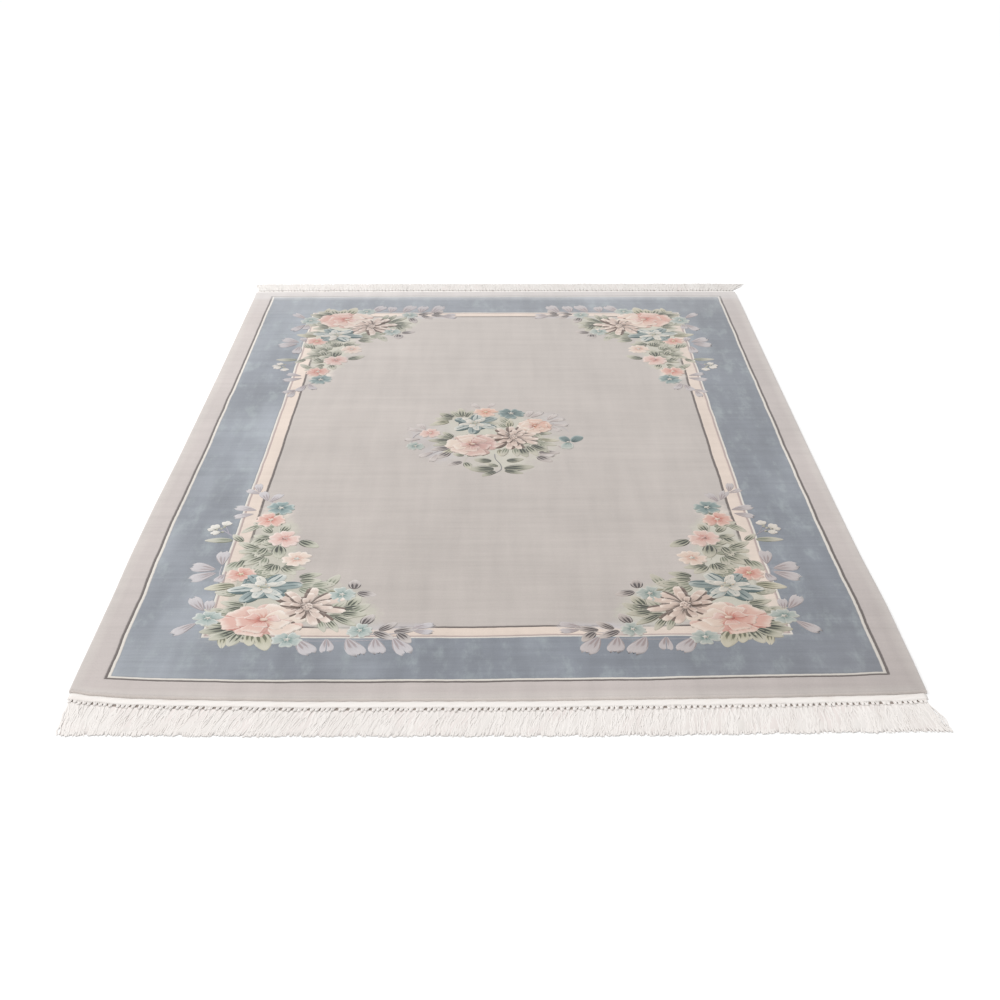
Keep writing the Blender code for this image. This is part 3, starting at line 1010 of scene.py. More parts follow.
# the middle's round spray, in millimetres from the rug's middle
middleFlowers = (
    (addLily, -64, 94, 74, 150, 1.0, ()),
    (addDahlia, 50, -12, 78, 30, 1.06, ()),
    (addPeony, -70, -62, 78, 170, 0.98, ("dusk", "cream")),
    (addPeony, 116, 74, 55, 200, 1.0, ("orange", "cream")),
)
clover = (  # u, w, angle, length, width, dyes
    (212, -44, 112, 46, 32, "tealDark"), (226, -44, 62, 52, 38, "tealDark"),
    (214, -48, 258, 46, 42, "aqua"),
)
middleBlossoms = (
    (-32, 182, 36, 20, "orange", "gold"), (46, 172, 40, 55, "tealDark", "white"),
    (-196, 22, 32, 10, "blush", "cream"), (-236, -72, 28, 30, "aqua", "white"),
)
middleLeaves = (
    (-130, 140, 140, 52, 32, "leafDeep"), (-132, 130, 170, 50, 28, "leaf"),
    (-104, 148, 96, 62, 28, "leaf"), (-92, 146, 72, 50, 22, "leafDark"),
    (-112, 148, 118, 48, 24, "sageLeaf"), (-142, 112, 196, 48, 34, "olive"),
    (40, 62, 92, 60, 26, "olive"), (28, 66, 118, 42, 22, "sageLeaf"),
    (-128, -10, 120, 48, 22, "leafDark"), (-130, -18, 152, 50, 22, "leaf"),
    (-134, -30, 184, 60, 28, "leafDeep"), (-138, -44, 208, 48, 24, "sageLeaf"),
    (-134, -84, 188, 52, 30, "mauveLeaf"), (-134, -112, 232, 52, 30, "mauveLeaf"),
    (116, 20, 8, 46, 26, "leafDark"), (122, -22, -12, 60, 24, "olive"),
    (118, -40, -30, 60, 24, "sageLeaf"), (104, -62, -44, 70, 30, "leafDeep"),
    (90, -72, -62, 66, 28, "leaf"), (72, -82, -80, 64, 28, "leafDeep"),
    (30, -86, -104, 52, 22, "sageLeaf"), (10, -94, -78, 44, 20, "olive"),
    (-12, -176, 170, 48, 30, "leafDeep"), (30, -174, 8, 46, 28, "leafDeep"),
    (22, -226, 8, 82, 40, "leafDeep"), (24, -240, -14, 52, 24, "leafDeep"),
    (-4, -230, 178, 66, 42, "leafDeep"), (0, -244, 214, 46, 24, "leafDeep"),
    (6, -212, 150, 40, 20, "leaf"), (-92, -140, 158, 34, 20, "leaf"),
    (-84, -142, 26, 30, 18, "leaf"), (-96, -180, 206, 44, 24, "mauveLeaf"),
    (-88, -184, -66, 44, 24, "leaf"), (124, -116, 0, 56, 32, "mauveLeaf"),
    (122, -126, -24, 44, 22, "hazeLeaf"), (120, -142, -46, 52, 32, "mauveLeaf"),
    (156, 120, 64, 50, 24, "hazeLeaf"), (162, 110, 22, 46, 22, "hazeLeaf"),
    (166, 88, -14, 48, 22, "hazeLeaf"), (164, 76, -52, 44, 20, "hazeLeaf"),
    (98, 146, 84, 46, 22, "hazeLeaf"), (106, 142, 46, 50, 22, "hazeLeaf"),
    (-212, 48, 110, 46, 22, "hazeLeaf"), (-220, 38, 158, 44, 20, "hazeLeaf"),
    (-224, -20, 190, 42, 20, "hazeLeaf"), (-182, -112, 216, 48, 22, "hazeLeaf"),
    (-170, -128, 252, 48, 22, "hazeLeaf"), (-50, 214, 128, 40, 18, "hazeLeaf"),
    (-26, 216, 64, 38, 18, "hazeLeaf"), (180, -70, -30, 36, 16, "hazeLeaf"),
)
middleStems = (
    (3, "stemDark", ((-4, -120), (-3, -160), (13, -195), (18, -232), (-6, -264))),
    (3.5, "stem", ((-60, -110), (-86, -150), (-94, -200))),
    (3.5, "stem", ((110, -80), (120, -120), (126, -160))),
    (3.5, "lavender", ((140, 100), (164, 106), (206, 62), (222, 20))),
    (3.5, "lavender", ((-170, 10), (-214, 44), (-246, 0), (-250, -60))),
    (3, "lavender", ((-150, -90), (-180, -118), (-206, -150))),
)


cornerPatches = (  # middle, half width and half length of a patch, its leaves, the way they point
    (40, 510, 30, 60, 3, 150), (40, 400, 50, 50, 4, 170), (30, 320, 50, 50, 4, 190),
    (70, 255, 60, 30, 4, 60), (190, 190, 50, 22, 3, 30), (250, 70, 30, 45, 4, 0),
    (10, 110, 30, 60, 4, 180), (30, -10, 45, 30, 4, 230),
)
middlePatches = (
    (-100, 110, 50, 40, 4, 130), (-110, -60, 40, 60, 4, 190), (90, -60, 50, 40, 4, -50),
    (120, 20, 30, 50, 3, 10), (10, 110, 60, 40, 3, 80),
)


def fillSpray(flowers, blossoms, leaves, stems, patches, buds=()):
    tufts = newTufts()
    addThicket(tufts, patches)
    for width, dyes, route in stems:
        addStem(tufts, np.array(route) / 1000, width / 1000, dyes)
    for number, (u, w, angle, length, width, dyes) in enumerate(inMetres(leaves, 0, 1, 3, 4)):
        bend = leafShape["bend"] * math.sin(number * 1.7)
        level = leafShape["level"] + leafShape["step"] * (number % 3)
        addLeaf(tufts, u, w, angle, length, width, dyes, bend, level)
    for u, w, angle, length in inMetres(buds, 0, 1, 3):
        addBud(tufts, u, w, angle, length)
    for u, w, radius, turn, dyes, middle in inMetres(blossoms, 0, 1, 2):
        addBlossom(tufts, u, w, radius, turn, dyes, middle)
    for add, u, w, radius, facing, squash, dyes in inMetres(flowers, 1, 2, 3):
        first = len(tufts["points"])
        add(tufts, u, w, radius, facing, *dyes)
        for points in tufts["points"][first:]:
            points[:, 1] = w + (points[:, 1] - w) * squash
    return tufts


sprayTones = dict(  # how much light each spray throws back beside the near left one: red, green, blue
    spray_near_left=(1.0, 1.0, 1.0),
    spray_near_right=(0.87, 0.83, 0.80),
    spray_far_left=(0.80, 0.78, 0.78),
    spray_far_right=(0.91, 0.88, 0.86),
    spray_middle=(0.88, 0.85, 0.83),
)


def laySpray(name, tufts, place, flipped=False):
    # place turns the spray's u, w into the plan's x, y
    tone = np.array((*sprayTones[name], 1.0))
    points = np.concatenate(tufts["points"])
    x, y = place(points[:, 0], points[:, 1])
    floorX, floorY = onFloor(x, y)
    ground = rug["pileTop"] - rug["recess"] * 0.5
    faces = [face[::-1] for face in tufts["faces"]] if flipped else tufts["faces"]
    attributes = {"petalPlace": ("FLOAT_VECTOR", np.concatenate(tufts["place"]))}
    for part in ("heart", "body", "rim"):
        attributes[part + "Dye"] = ("FLOAT_COLOR", np.concatenate(tufts[part]) * tone)
    places = np.stack([floorX, floorY, points[:, 2] + ground], -1)
    return newMesh(name, places, faces, [petalMaterial, leafMaterial], tufts["slots"], attributes)


# the far sprays lie further in along the rug, and the right ones across it
cornerEnds = (("near", -1, 0.0), ("far", 1, 0.018))
cornerHands = (("left", -1, 0.0), ("right", 1, 0.006))
shiftReach = 0.08  # how far past the inner line a spray is drawn in by its whole shift


def makeSprays():
    corner = fillSpray(cornerFlowers, cornerBlossoms, cornerLeaves, cornerStems, cornerPatches, cornerBuds)
    cornerX = rug["width"] / 2 - rug["innerLine"]
    cornerY = rug["length"] / 2 - rug["innerLine"]
    sprays = []
    for end, toEnd, shift in cornerEnds:
        for hand, toSide, inset in cornerHands:
            def place(u, w, a=toSide, b=toEnd, c=inset, d=shift):
                drawnIn = d * np.clip(w / shiftReach, 0, 1)
                return a * (cornerX - c - u), b * (cornerY - w - drawnIn)

            name = f"spray_{end}_{hand}"
            sprays.append(laySpray(name, corner, place, flipped=toSide * toEnd < 0))
    middle = fillSpray(middleFlowers, middleBlossoms, middleLeaves, middleStems, middlePatches)
    for u, w, turn, length, width, dyes in inMetres(clover, 0, 1, 3, 4):
        addPetal(middle, u, w, turn, length, width, petalDyes[dyes], "round", 0.0006, vein=0.0003)
    addButton(middle, clover[0][0] / 1000, clover[0][1] / 1000, 0.005, "bud", 0.0016)
    sprays.append(laySpray("spray_middle", middle, lambda u, w: (u, w)))
    return sprays


sprays = makeSprays()
print("sprays laid:", [len(spray.data.polygons) for spray in sprays])


# ends: a flat woven web, then the warps bundled, knotted and left as fringe
fringe = dict(
    webWidth=0.0235,
    webInset=0.003,
    webHeight=0.0024,
    warpPitch=0.0045,  # of the weave
    weftPitch=0.0026,
    bundles=156,
    endInset=0.002,  # of the outermost bundles
    neckLength=0.0115,
    neckTucked=0.001,  # how far the necks start inside the web
    warps=5,  # to a bundle
    warpRadius=0.0012,
    warpHeight=0.0013,
    knotRadius=0.0034,
    knotHeight=0.0024,
    jitter=0.0027,
    stagger=0.0012,
    leanJitter=0.0035,
    reachJitter=0.0015,
    thinEdge=0.0004,  # height of the mat's edge, and of the painted shadow under the necks
)
webShape = dict(
    columns=260,
    rows=(0.01, 0.05, 0.17, 0.33, 0.49, 0.65, 0.80, 0.95, 1.0),  # shares of its width
    waver=0.0009,
    waverFrom=0.02,  # its outer edge wavers, from this far out
    ripple=0.00025,
    edge=0.55,  # the height of its edges beside its own
)
neckShadowShape = dict(columns=180, rows=(0.0, 0.5, 1.0), inset=0.004, tucked=0.0015, ragged=0.0020)
matShape = dict(
    columns=420,
    rows=9,
    inset=0.006,
    tucked=0.002,
    height=0.0016,
    lumps=(0.22, 0.20),  # narrow and broad ones
    short=0.005,  # how far before the threads' tips the matted cotton ends
    ragged=0.0022,
)
threadShape = dict(Threads=8, Thickness=0.0012, Spread=0.0095, Wave=0.022, Lift=0.0013, Flatness=0.30)
threadPlay = dict(
    across=34.0,  # how quickly the waver changes from bundle to bundle
    along=2.8,  # and along a thread
    own=1.6,  # and how much of it is the thread's own
    opening=0.50,  # the share of its length in which a bundle opens
    bundle=0.0011,  # half the width of a bundle at its knot
    shorter=-0.07,
    settling=-0.45,
    floor=0.0006,
)
nearLeans = (  # share of the width, how far sideways a thread runs over its length
    (0.00, 10), (0.04, -1), (0.12, -19), (0.34, -26), (0.55, -16), (0.78, -12), (0.93, -1),
    (1.00, 16),
)
farLeans = (
    (0.00, -20), (0.06, -10), (0.30, 4), (0.62, -4), (0.88, 6), (0.97, 30), (1.00, 45),
)
nearTips = (  # share of the width, how far the threads' tips are drawn back
    (0.00, 6), (0.30, 0), (0.60, 0), (1.00, 13),
)
threads = {
    "near": dict(outward=-1, reach=0.127, leans=nearLeans, steps=9, seed=5),
    "far": dict(outward=1, reach=0.120, leans=farLeans, steps=8, seed=11),
}


# unevenness of the cotton: scale, stretch and detail
cotton = dict(lock=(30.0, (1, 0.22, 1), 3.0), fibre=(420.0, (1, 0.10, 1), 2.0))
matted = dict(
    lock=(70.0, (1, 0.10, 1), 3.0),
    clump=(12.0, (1, 0.8, 1), 2.0),
    fibre=(380.0, (1, 0.06, 1), 2.0),
)
wornWeb = (30.0, (0.4, 1, 1), 3.0)
shadeReach = (0.0026, 0.0006)  # heights between which painted shade darkens the cotton towards the floor
farGrey = (0.885, 0.89, 0.89, 1)  # the far fringe lies in a little less light
farReach = (0.0, 1.2)


def greyFarEnd(tree, along, colour):
    return mixDyes(tree, smooth(tree, along, *farReach), colour, farGrey, "MULTIPLY")


def makeCottonMaterial(name, pale, shade, depth):
    # depth is how strongly painted shade darkens the cotton towards the floor
    material, tree, shader = newMaterial(name, **{"Roughness": 0.9, "Specular IOR Level": 0.15})
    place = objectPlace(tree)
    lock, fibre = (noise(tree, place, *pattern) for pattern in cotton.values())
    tone = smooth(tree, timesPlus(tree, fibre, 0.4, lock), 0.50, 0.95)
    parts = separate(tree, place)
    floorShade = times(tree, smooth(tree, parts["Z"], *shadeReach), depth)
    colour = mixDyes(tree, calc(tree, "MAXIMUM", times(tree, tone, 0.5), floorShade), pale, shade)
    finishSurface(tree, shader, greyFarEnd(tree, parts["Y"], colour), 0.15, 0.0002, fibre)
    return material


def makeWebMaterial():
    # plain weave, the wefts packed close across the warps
    material, tree, shader = newMaterial("cottonWeb", **{"Roughness": 0.85})
    place = objectPlace(tree)
    parts = separate(tree, place)
    warps = calc(tree, "SINE", times(tree, parts[0], 2 * math.pi / fringe["warpPitch"]))
    wefts = calc(tree, "SINE", times(tree, parts[1], 2 * math.pi / fringe["weftPitch"]))
    weave = timesPlus(tree, times(tree, warps, wefts), 0.25, 0.5)
    worn = noise(tree, place, *wornWeb)
    colour = mixDyes(tree, weave, dye(250, 243, 237), dye(255, 252, 249))
    colour = mixDyes(tree, smooth(tree, worn, 0.50, 0.8), colour, dye(244, 236, 230))
    finishSurface(tree, shader, colour, 0.5, 0.0005, weave)
    return material


def makeMatMaterial():
    # cotton threads matted together, streaked along each one's own run
    material, tree, shader = newMaterial("mattedCotton", **{"Roughness": 0.9})
    strand = readAttribute(tree, "strand")["Vector"]
    lock, clump, fibre = (noise(tree, strand, *pattern) for pattern in matted.values())
    tone = timesPlus(tree, fibre, 0.5, timesPlus(tree, lock, 0.8, clump))
    colour = mixDyes(tree, smooth(tree, tone, 0.90, 1.45), dye(246, 241, 237), dye(236, 231, 226))
    colour = mixDyes(tree, smooth(tree, clump, 0.42, 0.66), colour, dye(244, 235, 231))
    colour = greyFarEnd(tree, separate(tree, objectPlace(tree))["Y"], colour)
    finishSurface(tree, shader, colour, 0.3, 0.0005, plus(tree, fibre, lock))
    return material


webMaterial = makeWebMaterial()
matMaterial = makeMatMaterial()
warpMaterial = makeCottonMaterial("cottonWarp", dye(254, 249, 245), dye(240, 233, 228), 0.0)
# painted shadow between the bundles' necks
neckShadowMaterial = makeCottonMaterial("shadedWarp", dye(178, 166, 158), dye(112, 98, 91), 0.2)


def webEdge(x, outward, out):
    # a point of the web, out metres beyond the pile's end
    floorX, floorY = onFloor(x, np.full_like(x, outward * rug["length"] / 2))
    return floorX, floorY + outward * out


def makeWeb(end, outward):
    half = rug["width"] / 2 - fringe["webInset"]
    columns = np.linspace(-half, half, webShape["columns"])
    x, out = np.meshgrid(columns, np.array(webShape["rows"]) * fringe["webWidth"])
    waver = webShape["waver"] * np.sin(x * 61) * (out > webShape["waverFrom"])
    floorX, floorY = webEdge(x, outward, out + waver)
    z = fringe["webHeight"] + webShape["ripple"] * np.sin(x * 140 + out * 300)
    z[0] = z[-1] = z[:, 0] = z[:, -1] = fringe["webHeight"] * webShape["edge"]
    return newSlab(f"web_{end}", floorX, floorY, z, [webMaterial], flip=outward < 0)


def makeNeckShadow(end, outward):
    # a dark strip under the necks, painted shadow that shows between the bundles
    half = rug["width"] / 2 - fringe["webInset"] - neckShadowShape["inset"]
    outs = np.array(neckShadowShape["rows"]) * fringe["neckLength"] + fringe["webWidth"] - neckShadowShape["tucked"]
    x, out = np.meshgrid(np.linspace(-half, half, neckShadowShape["columns"]), outs)
    ragged = neckShadowShape["ragged"] * np.sin(x * 211) * (out == outs[-1])
    floorX, floorY = webEdge(x, outward, out + ragged)
    z = np.full_like(x, fringe["thinEdge"])
    return newSlab(f"neck_shadow_{end}", floorX, floorY, z, [neckShadowMaterial], flip=outward < 0)


def threadRun(end, share):
    # how far the threads run out from their knots, and sideways, at a share of the width
    settings = threads[end]
    reach = settings["reach"] - fringe["webWidth"] - fringe["neckLength"]
    reach = reach + fringe["reachJitter"] * np.sin(share * 83)
    if end == "near":
        reach = reach + readTable(nearSetbacks, share) - readTable(nearTips, share)
    waver = np.sin(share * 160 + 1.3 * np.sin(share * 41))
    return reach, readTable(settings["leans"], share) + fringe["leanJitter"] * waver


def makeMat(end, outward):
    # the cotton matted together under the loose threads
    half = rug["width"] / 2 - fringe["webInset"] - matShape["inset"]
    share, t = np.meshgrid(np.linspace(0, 1, matShape["columns"]), np.linspace(0, 1, matShape["rows"]))
    reach, lean = threadRun(end, share)
    knot = fringe["webWidth"] + fringe["neckLength"] - matShape["tucked"]
    root = (share * 2 - 1) * half
    floorX, floorY = webEdge(root, outward, knot)
    ragged = matShape["ragged"] * np.sin(share * 900 + 2 * np.sin(share * 310)) * (t == 1)
    floorX = floorX + lean * t
    floorY = floorY + outward * ((reach - matShape["short"]) * t + ragged)
    narrow, broad = matShape["lumps"]
    lumps = narrow * np.sin(share * 700 + t * 2), broad * np.sin(share * 190 + t * 5)
    z = matShape["height"] * (1 + lumps[0] + lumps[1])
    z[-1] = z[:, 0] = z[:, -1] = fringe["thinEdge"]
    strand = np.stack([root, reach * t, 0 * t], -1).reshape(-1, 3)
    attributes = {"strand": ("FLOAT_VECTOR", strand)}
    return newSlab(f"fringe_mat_{end}", floorX, floorY, z, [matMaterial], outward < 0, attributes)


# geometry-node helpers
def newNodeTree(name, inputs):
    tree = bpy.data.node_groups.new(name, "GeometryNodeTree")
    tree.interface.new_socket("Geometry", in_out="INPUT", socket_type="NodeSocketGeometry")
    tree.interface.new_socket("Geometry", in_out="OUTPUT", socket_type="NodeSocketGeometry")
    for label, kind in inputs:
        tree.interface.new_socket(label, in_out="INPUT", socket_type="NodeSocket" + kind)
    return tree, addNode(tree, "NodeGroupInput").outputs, addNode(tree, "NodeGroupOutput").inputs


def readField(tree, name, kind="FLOAT"):
    node = addNode(tree, "GeometryNodeInputNamedAttribute", {"Name": name}, data_type=kind)
    return next(socket for socket in node.outputs if socket.enabled)


def storeField(tree, geometry, name, value, kind="FLOAT"):
    inputs = {"Geometry": geometry, "Name": name, "Value": value}
    return addNode(tree, "GeometryNodeStoreNamedAttribute", inputs, data_type=kind, domain="POINT").outputs[0]


def drawVector(tree, low, high, seed):
    draw = addNode(tree, "FunctionNodeRandomValue", data_type="FLOAT_VECTOR")
    for name, value in (("Min", low), ("Max", high), ("Seed", seed)):
        draw.inputs[name].default_value = value
    return draw.outputs["Value"]


def scatterLines(tree, roots, count, steps):
    # count lines at each root, each one knowing its root, its number and two random shares
    points = addNode(tree, "GeometryNodeMeshToPoints", {"Mesh": roots}).outputs[0]
    place = addNode(tree, "GeometryNodeInputPosition").outputs[0]
    points = storeField(tree, points, "rootPlace", place, "FLOAT_VECTOR")
    inputs = {"Geometry": points, "Amount": count}
    copies = addNode(tree, "GeometryNodeDuplicateElements", inputs, domain="POINT")
    points = storeField(tree, copies.outputs[0], "number", copies.outputs[1])
    draw = drawVector(tree, (-1, 0, 0), (1, 1, 1), 7)
    points = storeField(tree, points, "draw", draw, "FLOAT_VECTOR")
    line = addNode(tree, "GeometryNodeCurvePrimitiveLine").outputs[0]
    line = addNode(tree, "GeometryNodeResampleCurve", {"Curve": line, "Count": steps}).outputs[0]
    placed = addNode(tree, "GeometryNodeInstanceOnPoints", {"Points": points, "Instance": line})
    return addNode(tree, "GeometryNodeRealizeInstances", {"Geometry": placed.outputs[0]}).outputs[0]


def sweepLines(tree, lines, position, radius, flatness=1.0):
    # four-sided tubes along the lines, flattened about each line's own height
    moved = addNode(tree, "GeometryNodeSetPosition", {"Geometry": lines, "Position": position}).outputs[0]
    place = addNode(tree, "GeometryNodeInputPosition").outputs[0]
    moved = storeField(tree, moved, "ridge", separate(tree, place)[2])
    inputs = {"Resolution": 4, "Radius": radius}
    profile = addNode(tree, "GeometryNodeCurvePrimitiveCircle", inputs).outputs[0]
    inputs = {"Curve": moved, "Profile Curve": profile, "Fill Caps": True}
    mesh = addNode(tree, "GeometryNodeCurveToMesh", inputs).outputs[0]
    x, y, z = separate(tree, place)
    ridge = readField(tree, "ridge")
    z = timesPlus(tree, minus(tree, z, ridge), flatness, ridge)
    inputs = {"Geometry": mesh, "Position": combine(tree, x, y, z)}
    mesh = addNode(tree, "GeometryNodeSetPosition", inputs).outputs[0]
    made = addNode(tree, "GeometryNodeRealizeInstances", {"Geometry": mesh}).outputs[0]
    inputs = {"Geometry": made, "Material": warpMaterial}
    return addNode(tree, "GeometryNodeSetMaterial", inputs).outputs[0]


def makeThreadTree():
    labels = (("Threads", "Int"), ("Steps", "Int"), ("Thickness", "Float"), ("Outward", "Float"),
              ("Spread", "Float"), ("Wave", "Float"), ("Lift", "Float"), ("Flatness", "Float"))
    tree, given, wanted = newNodeTree("fringeThreads", labels)
    lines = scatterLines(tree, given["Geometry"], given["Threads"], given["Steps"])
    t = addNode(tree, "GeometryNodeSplineParameter").outputs["Factor"]
    rootX, rootY, _ = separate(tree, readField(tree, "rootPlace", "FLOAT_VECTOR"))
    shareX, shareY, shareZ = separate(tree, readField(tree, "draw", "FLOAT_VECTOR"))
    lean, reach = readField(tree, "lean"), readField(tree, "reach")
    open_ = smooth(tree, t, 0.0, threadPlay["opening"])
    # each thread wavers, more towards its tip, and its neighbours waver much the same way
    where = combine(tree, timesPlus(tree, rootX, threadPlay["across"], shareX),
                    timesPlus(tree, t, threadPlay["along"], shareZ),
                    times(tree, shareY, threadPlay["own"]))
    waver = addNode(tree, "ShaderNodeTexNoise", {"Vector": where, "Scale": 1.0, "Detail": 1.0})
    waverX, waverY, waverZ = separate(tree, waver.outputs["Color"])
    swing = times(tree, times(tree, centred(tree, waverX), given["Wave"]), open_)
    x = timesPlus(tree, lean, t, rootX)
    fan = timesPlus(tree, open_, given["Spread"], threadPlay["bundle"])
    x = timesPlus(tree, shareX, fan, plus(tree, x, swing))
    run = times(tree, reach, timesPlus(tree, shareY, threadPlay["shorter"], 1.0))
    run = times(tree, times(tree, run, t), given["Outward"])
    y = plus(tree, rootY, run)
    rise = times(tree, shareZ, given["Lift"])
    rise = times(tree, rise, timesPlus(tree, t, threadPlay["settling"], 1.0))
    rise = times(tree, rise, plus(tree, waverZ, 0.5))
    z = plus(tree, timesPlus(tree, given["Thickness"], 0.5, rise), threadPlay["floor"])
    made = sweepLines(tree, lines, combine(tree, x, y, z), given["Thickness"], given["Flatness"])
    feed(tree, wanted["Geometry"], made)
    return tree


def makeNeckTree():
    # a few warps leave the web side by side and draw together at their knot
    labels = (("Warps", "Int"), ("Pitch", "Float"), ("Length", "Float"), ("Radius", "Float"),
              ("Height", "Float"), ("Outward", "Float"))
    tree, given, wanted = newNodeTree("gatheredWarps", labels)
    lines = scatterLines(tree, given["Geometry"], given["Warps"], 5)
    t = addNode(tree, "GeometryNodeSplineParameter").outputs["Factor"]
    rootX, rootY, _ = separate(tree, readField(tree, "rootPlace", "FLOAT_VECTOR"))
    shareX, _, shareZ = separate(tree, readField(tree, "draw", "FLOAT_VECTOR"))
    lean, reach = readField(tree, "lean"), readField(tree, "reach")
    middle = times(tree, minus(tree, given["Warps"], 1.0), 0.5)
    fan = minus(tree, readField(tree, "number"), middle)
    fan = timesPlus(tree, shareX, 0.3, fan)
    fan = times(tree, fan, calc(tree, "DIVIDE", given["Pitch"], given["Warps"]))
    fan = times(tree, fan, timesPlus(tree, smooth(tree, t, 0.0, 0.55), -0.40, 1.0))
    back = times(tree, minus(tree, t, 1.0), given["Length"])
    slope = calc(tree, "DIVIDE", lean, reach)
    x = plus(tree, timesPlus(tree, slope, back, rootX), fan)
    y = timesPlus(tree, back, given["Outward"], rootY)
    z = timesPlus(tree, shareZ, 0.0006, given["Height"])
    made = sweepLines(tree, lines, combine(tree, x, y, z), given["Radius"])
    feed(tree, wanted["Geometry"], made)
    return tree


def makeKnotTree():
    labels = (("Radius", "Float"), ("Height", "Float"))
    tree, given, wanted = newNodeTree("fringeKnots", labels)
    points = addNode(tree, "GeometryNodeMeshToPoints", {"Mesh": given["Geometry"]}).outputs[0]
    inputs = {"Segments": 7, "Rings": 4, "Radius": given["Radius"]}
    bead = addNode(tree, "GeometryNodeMeshUVSphere", inputs).outputs[0]
    sizes = drawVector(tree, (0.80, 1.20, 0.50), (1.25, 2.00, 0.68), 3)
    inputs = {"Points": points, "Instance": bead, "Scale": sizes}
    placed = addNode(tree, "GeometryNodeInstanceOnPoints", inputs).outputs[0]
    made = addNode(tree, "GeometryNodeRealizeInstances", {"Geometry": placed}).outputs[0]
    rise = combine(tree, 0.0, 0.0, given["Height"])
    made = addNode(tree, "GeometryNodeSetPosition", {"Geometry": made, "Offset": rise}).outputs[0]
    made = addNode(tree, "GeometryNodeSetMaterial", {"Geometry": made, "Material": warpMaterial})
    feed(tree, wanted["Geometry"], made.outputs[0])
    return tree


def growNodes(name, roots, tree, smoothed=True, **values):
    # the roots with the tree's geometry grown on them, as a plain mesh
    mesh = bpy.data.meshes.new(name)
    mesh.from_pydata([row[:3] for row in roots], [], [])
    for label, column in (("lean", 3), ("reach", 4)):
        layer = mesh.attributes.new(label, "FLOAT", "POINT")
        layer.data.foreach_set("value", [row[column] for row in roots])
    made = bpy.data.objects.new(name, mesh)
    bpy.context.scene.collection.objects.link(made)
    modifier = made.modifiers.new("grown", "NODES")
    modifier.node_group = tree
    sockets = {item.name: item.identifier for item in tree.interface.items_tree if item.in_out == "INPUT"}
    for label, value in values.items():
        modifier[sockets[label]] = value
    graph = bpy.context.evaluated_depsgraph_get()
    grown = bpy.data.meshes.new_from_object(made.evaluated_get(graph), depsgraph=graph)
    made.modifiers.remove(modifier)
    made.data = grown
    bpy.data.meshes.remove(mesh)
    grown.name = name
    grown.polygons.foreach_set("use_smooth", np.full(len(grown.polygons), smoothed))
    return made


def bundleRoots(end):
    # x, y, z, lean and reach of each bundle where it leaves its knot
    settings = threads[end]
    half = rug["width"] / 2 - fringe["webInset"]
    draw = np.random.default_rng(settings["seed"])
    share = (np.arange(fringe["bundles"]) + 0.5) / fringe["bundles"]
    x = -half + 2 * half * share + fringe["jitter"] * draw.uniform(-1, 1, fringe["bundles"])
    x = np.clip(x, fringe["endInset"] - half, half - fringe["endInset"])
    out = fringe["webWidth"] - fringe["neckTucked"] + fringe["neckLength"]
    out = out + fringe["stagger"] * np.sin(share * 517)
    floorX, floorY = webEdge(x, settings["outward"], out)
    reach, lean = threadRun(end, share)
    lean = lean + fringe["leanJitter"] * draw.uniform(-1, 1, fringe["bundles"])
    return [tuple(float(v) for v in row) for row in zip(floorX, floorY, 0 * x, lean, reach)]


def makeFringe(end):
    settings, roots = threads[end], bundleRoots(end)
    outward = settings["outward"]
    strands = growNodes(f"fringe_threads_{end}", roots, threadTree, smoothed=False,
                        Steps=settings["steps"], Outward=float(outward), **threadShape)
    necks = growNodes(f"warp_necks_{end}", roots, neckTree, Warps=fringe["warps"],
                      Pitch=rug["width"] / fringe["bundles"], Length=fringe["neckLength"],
                      Radius=fringe["warpRadius"], Height=fringe["warpHeight"],
                      Outward=float(outward))
    knots = growNodes(f"warp_knots_{end}", roots, knotTree, Radius=fringe["knotRadius"],
                      Height=fringe["knotHeight"])
    flats = [make(end, outward) for make in (makeWeb, makeNeckShadow, makeMat)]
    return [*flats, strands, necks, knots]


threadTree, neckTree, knotTree = makeThreadTree(), makeNeckTree(), makeKnotTree()
nearEnd = makeFringe("near")
farEnd = makeFringe("far")
print("fringe grown:", [len(piece.data.polygons) for piece in nearEnd + farEnd])


# floor, light and camera
studio = dict(
    cameraPlace=(-0.005, -3.884, 1.717),  # from the middle of the rug's pile
    pitch=90 - 26.41,
    roll=-0.194,
    lens=51.336,
    world=0.72,  # the room's light, and how bright the camera sees it
    backdrop=1.2,
    skyPower=1.32,
    skyTurn=(-26.0, -24.0, 0.0),
    skySpread=55.0,
    windowPower=44.0,
    windowSize=2.0,
    windowPlace=(-2.7, 1.3, 1.9),
)


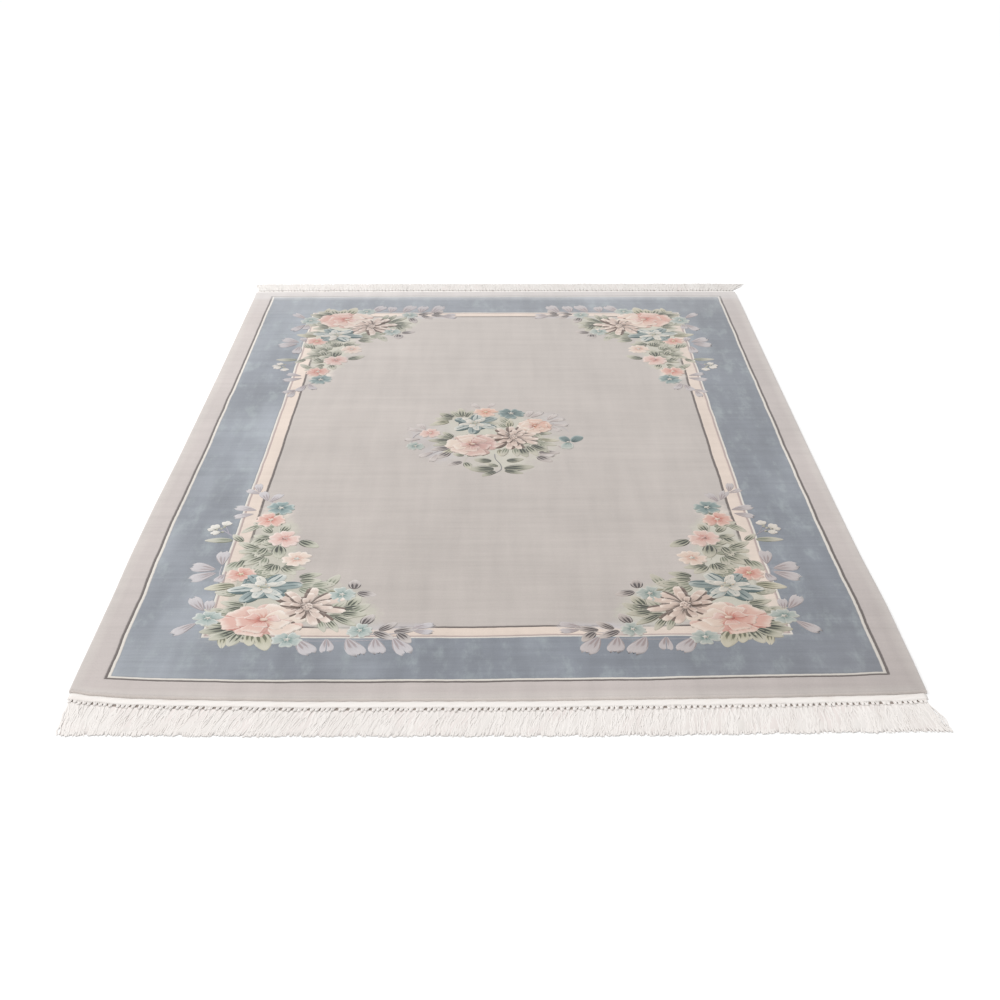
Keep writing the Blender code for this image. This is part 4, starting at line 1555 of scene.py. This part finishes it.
def makeFloor():
    material, tree, shader = newMaterial("studioFloor", **{"Roughness": 0.9, "Specular IOR Level": 0.0})
    grain = noise(tree, objectPlace(tree), 3.0)
    pale = mixDyes(tree, grain, (0.955, 0.955, 0.955, 1), (0.965, 0.965, 0.965, 1))
    feed(tree, shader.inputs["Base Color"], pale)
    floor = newMesh("studio_floor", [(-40, -12, 0), (40, -12, 0), (40, 70, 0), (-40, 70, 0)], [(0, 1, 2, 3)],
                    [material], flat=True)


def addLamp(name, kind, power, place, turn, **settings):
    lamp = bpy.data.lights.new(name, kind)
    lamp.energy = power
    for label, value in settings.items():
        setattr(lamp, label, value)
    made = bpy.data.objects.new(name, lamp)
    made.location = place
    made.rotation_euler = turn
    bpy.context.scene.collection.objects.link(made)


def makeLight():
    # an even pale room, a broad soft light from above and one big window at the left
    scene = bpy.context.scene
    scene.view_settings.view_transform = "Standard"
    world = bpy.data.worlds.new("paleStudio")
    scene.world = world
    world.use_nodes = True
    tree = world.node_tree
    background = tree.nodes["Background"]
    background.inputs["Color"].default_value = (1, 1, 1, 1)
    seen = addNode(tree, "ShaderNodeLightPath").outputs["Is Camera Ray"]
    strength = timesPlus(tree, seen, studio["backdrop"] - studio["world"], studio["world"])
    feed(tree, background.inputs["Strength"], strength)
    addLamp("softSky", "SUN", studio["skyPower"], (0, 0, 4),
            [math.radians(value) for value in studio["skyTurn"]], angle=math.radians(studio["skySpread"]))
    place = Vector(studio["windowPlace"])
    turn = place.to_track_quat("Z", "Y").to_euler()
    addLamp("window", "AREA", studio["windowPower"], place, turn, size=studio["windowSize"])


def makeCamera():
    camera = bpy.data.cameras.new("view")
    camera.lens = studio["lens"]
    camera.sensor_width = 36
    camera.clip_end = 200
    made = bpy.data.objects.new("view", camera)
    across, along, up = studio["cameraPlace"]
    made.location = (rugMiddle[0] + across, rugMiddle[1] + along, up + rug["pileTop"])
    made.rotation_euler = (math.radians(studio["pitch"]), 0, math.radians(studio["roll"]))
    bpy.context.scene.collection.objects.link(made)
    bpy.context.scene.camera = made


makeFloor()
makeLight()
makeCamera()
print("studio set")

for piece in [pile, *sprays, *nearEnd, *farEnd]:
    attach(piece, "root")
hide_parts("pile_field")
for piece in nearEnd:
    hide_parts("fringe_near")
for piece in farEnd:
    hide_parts("fringe_far")
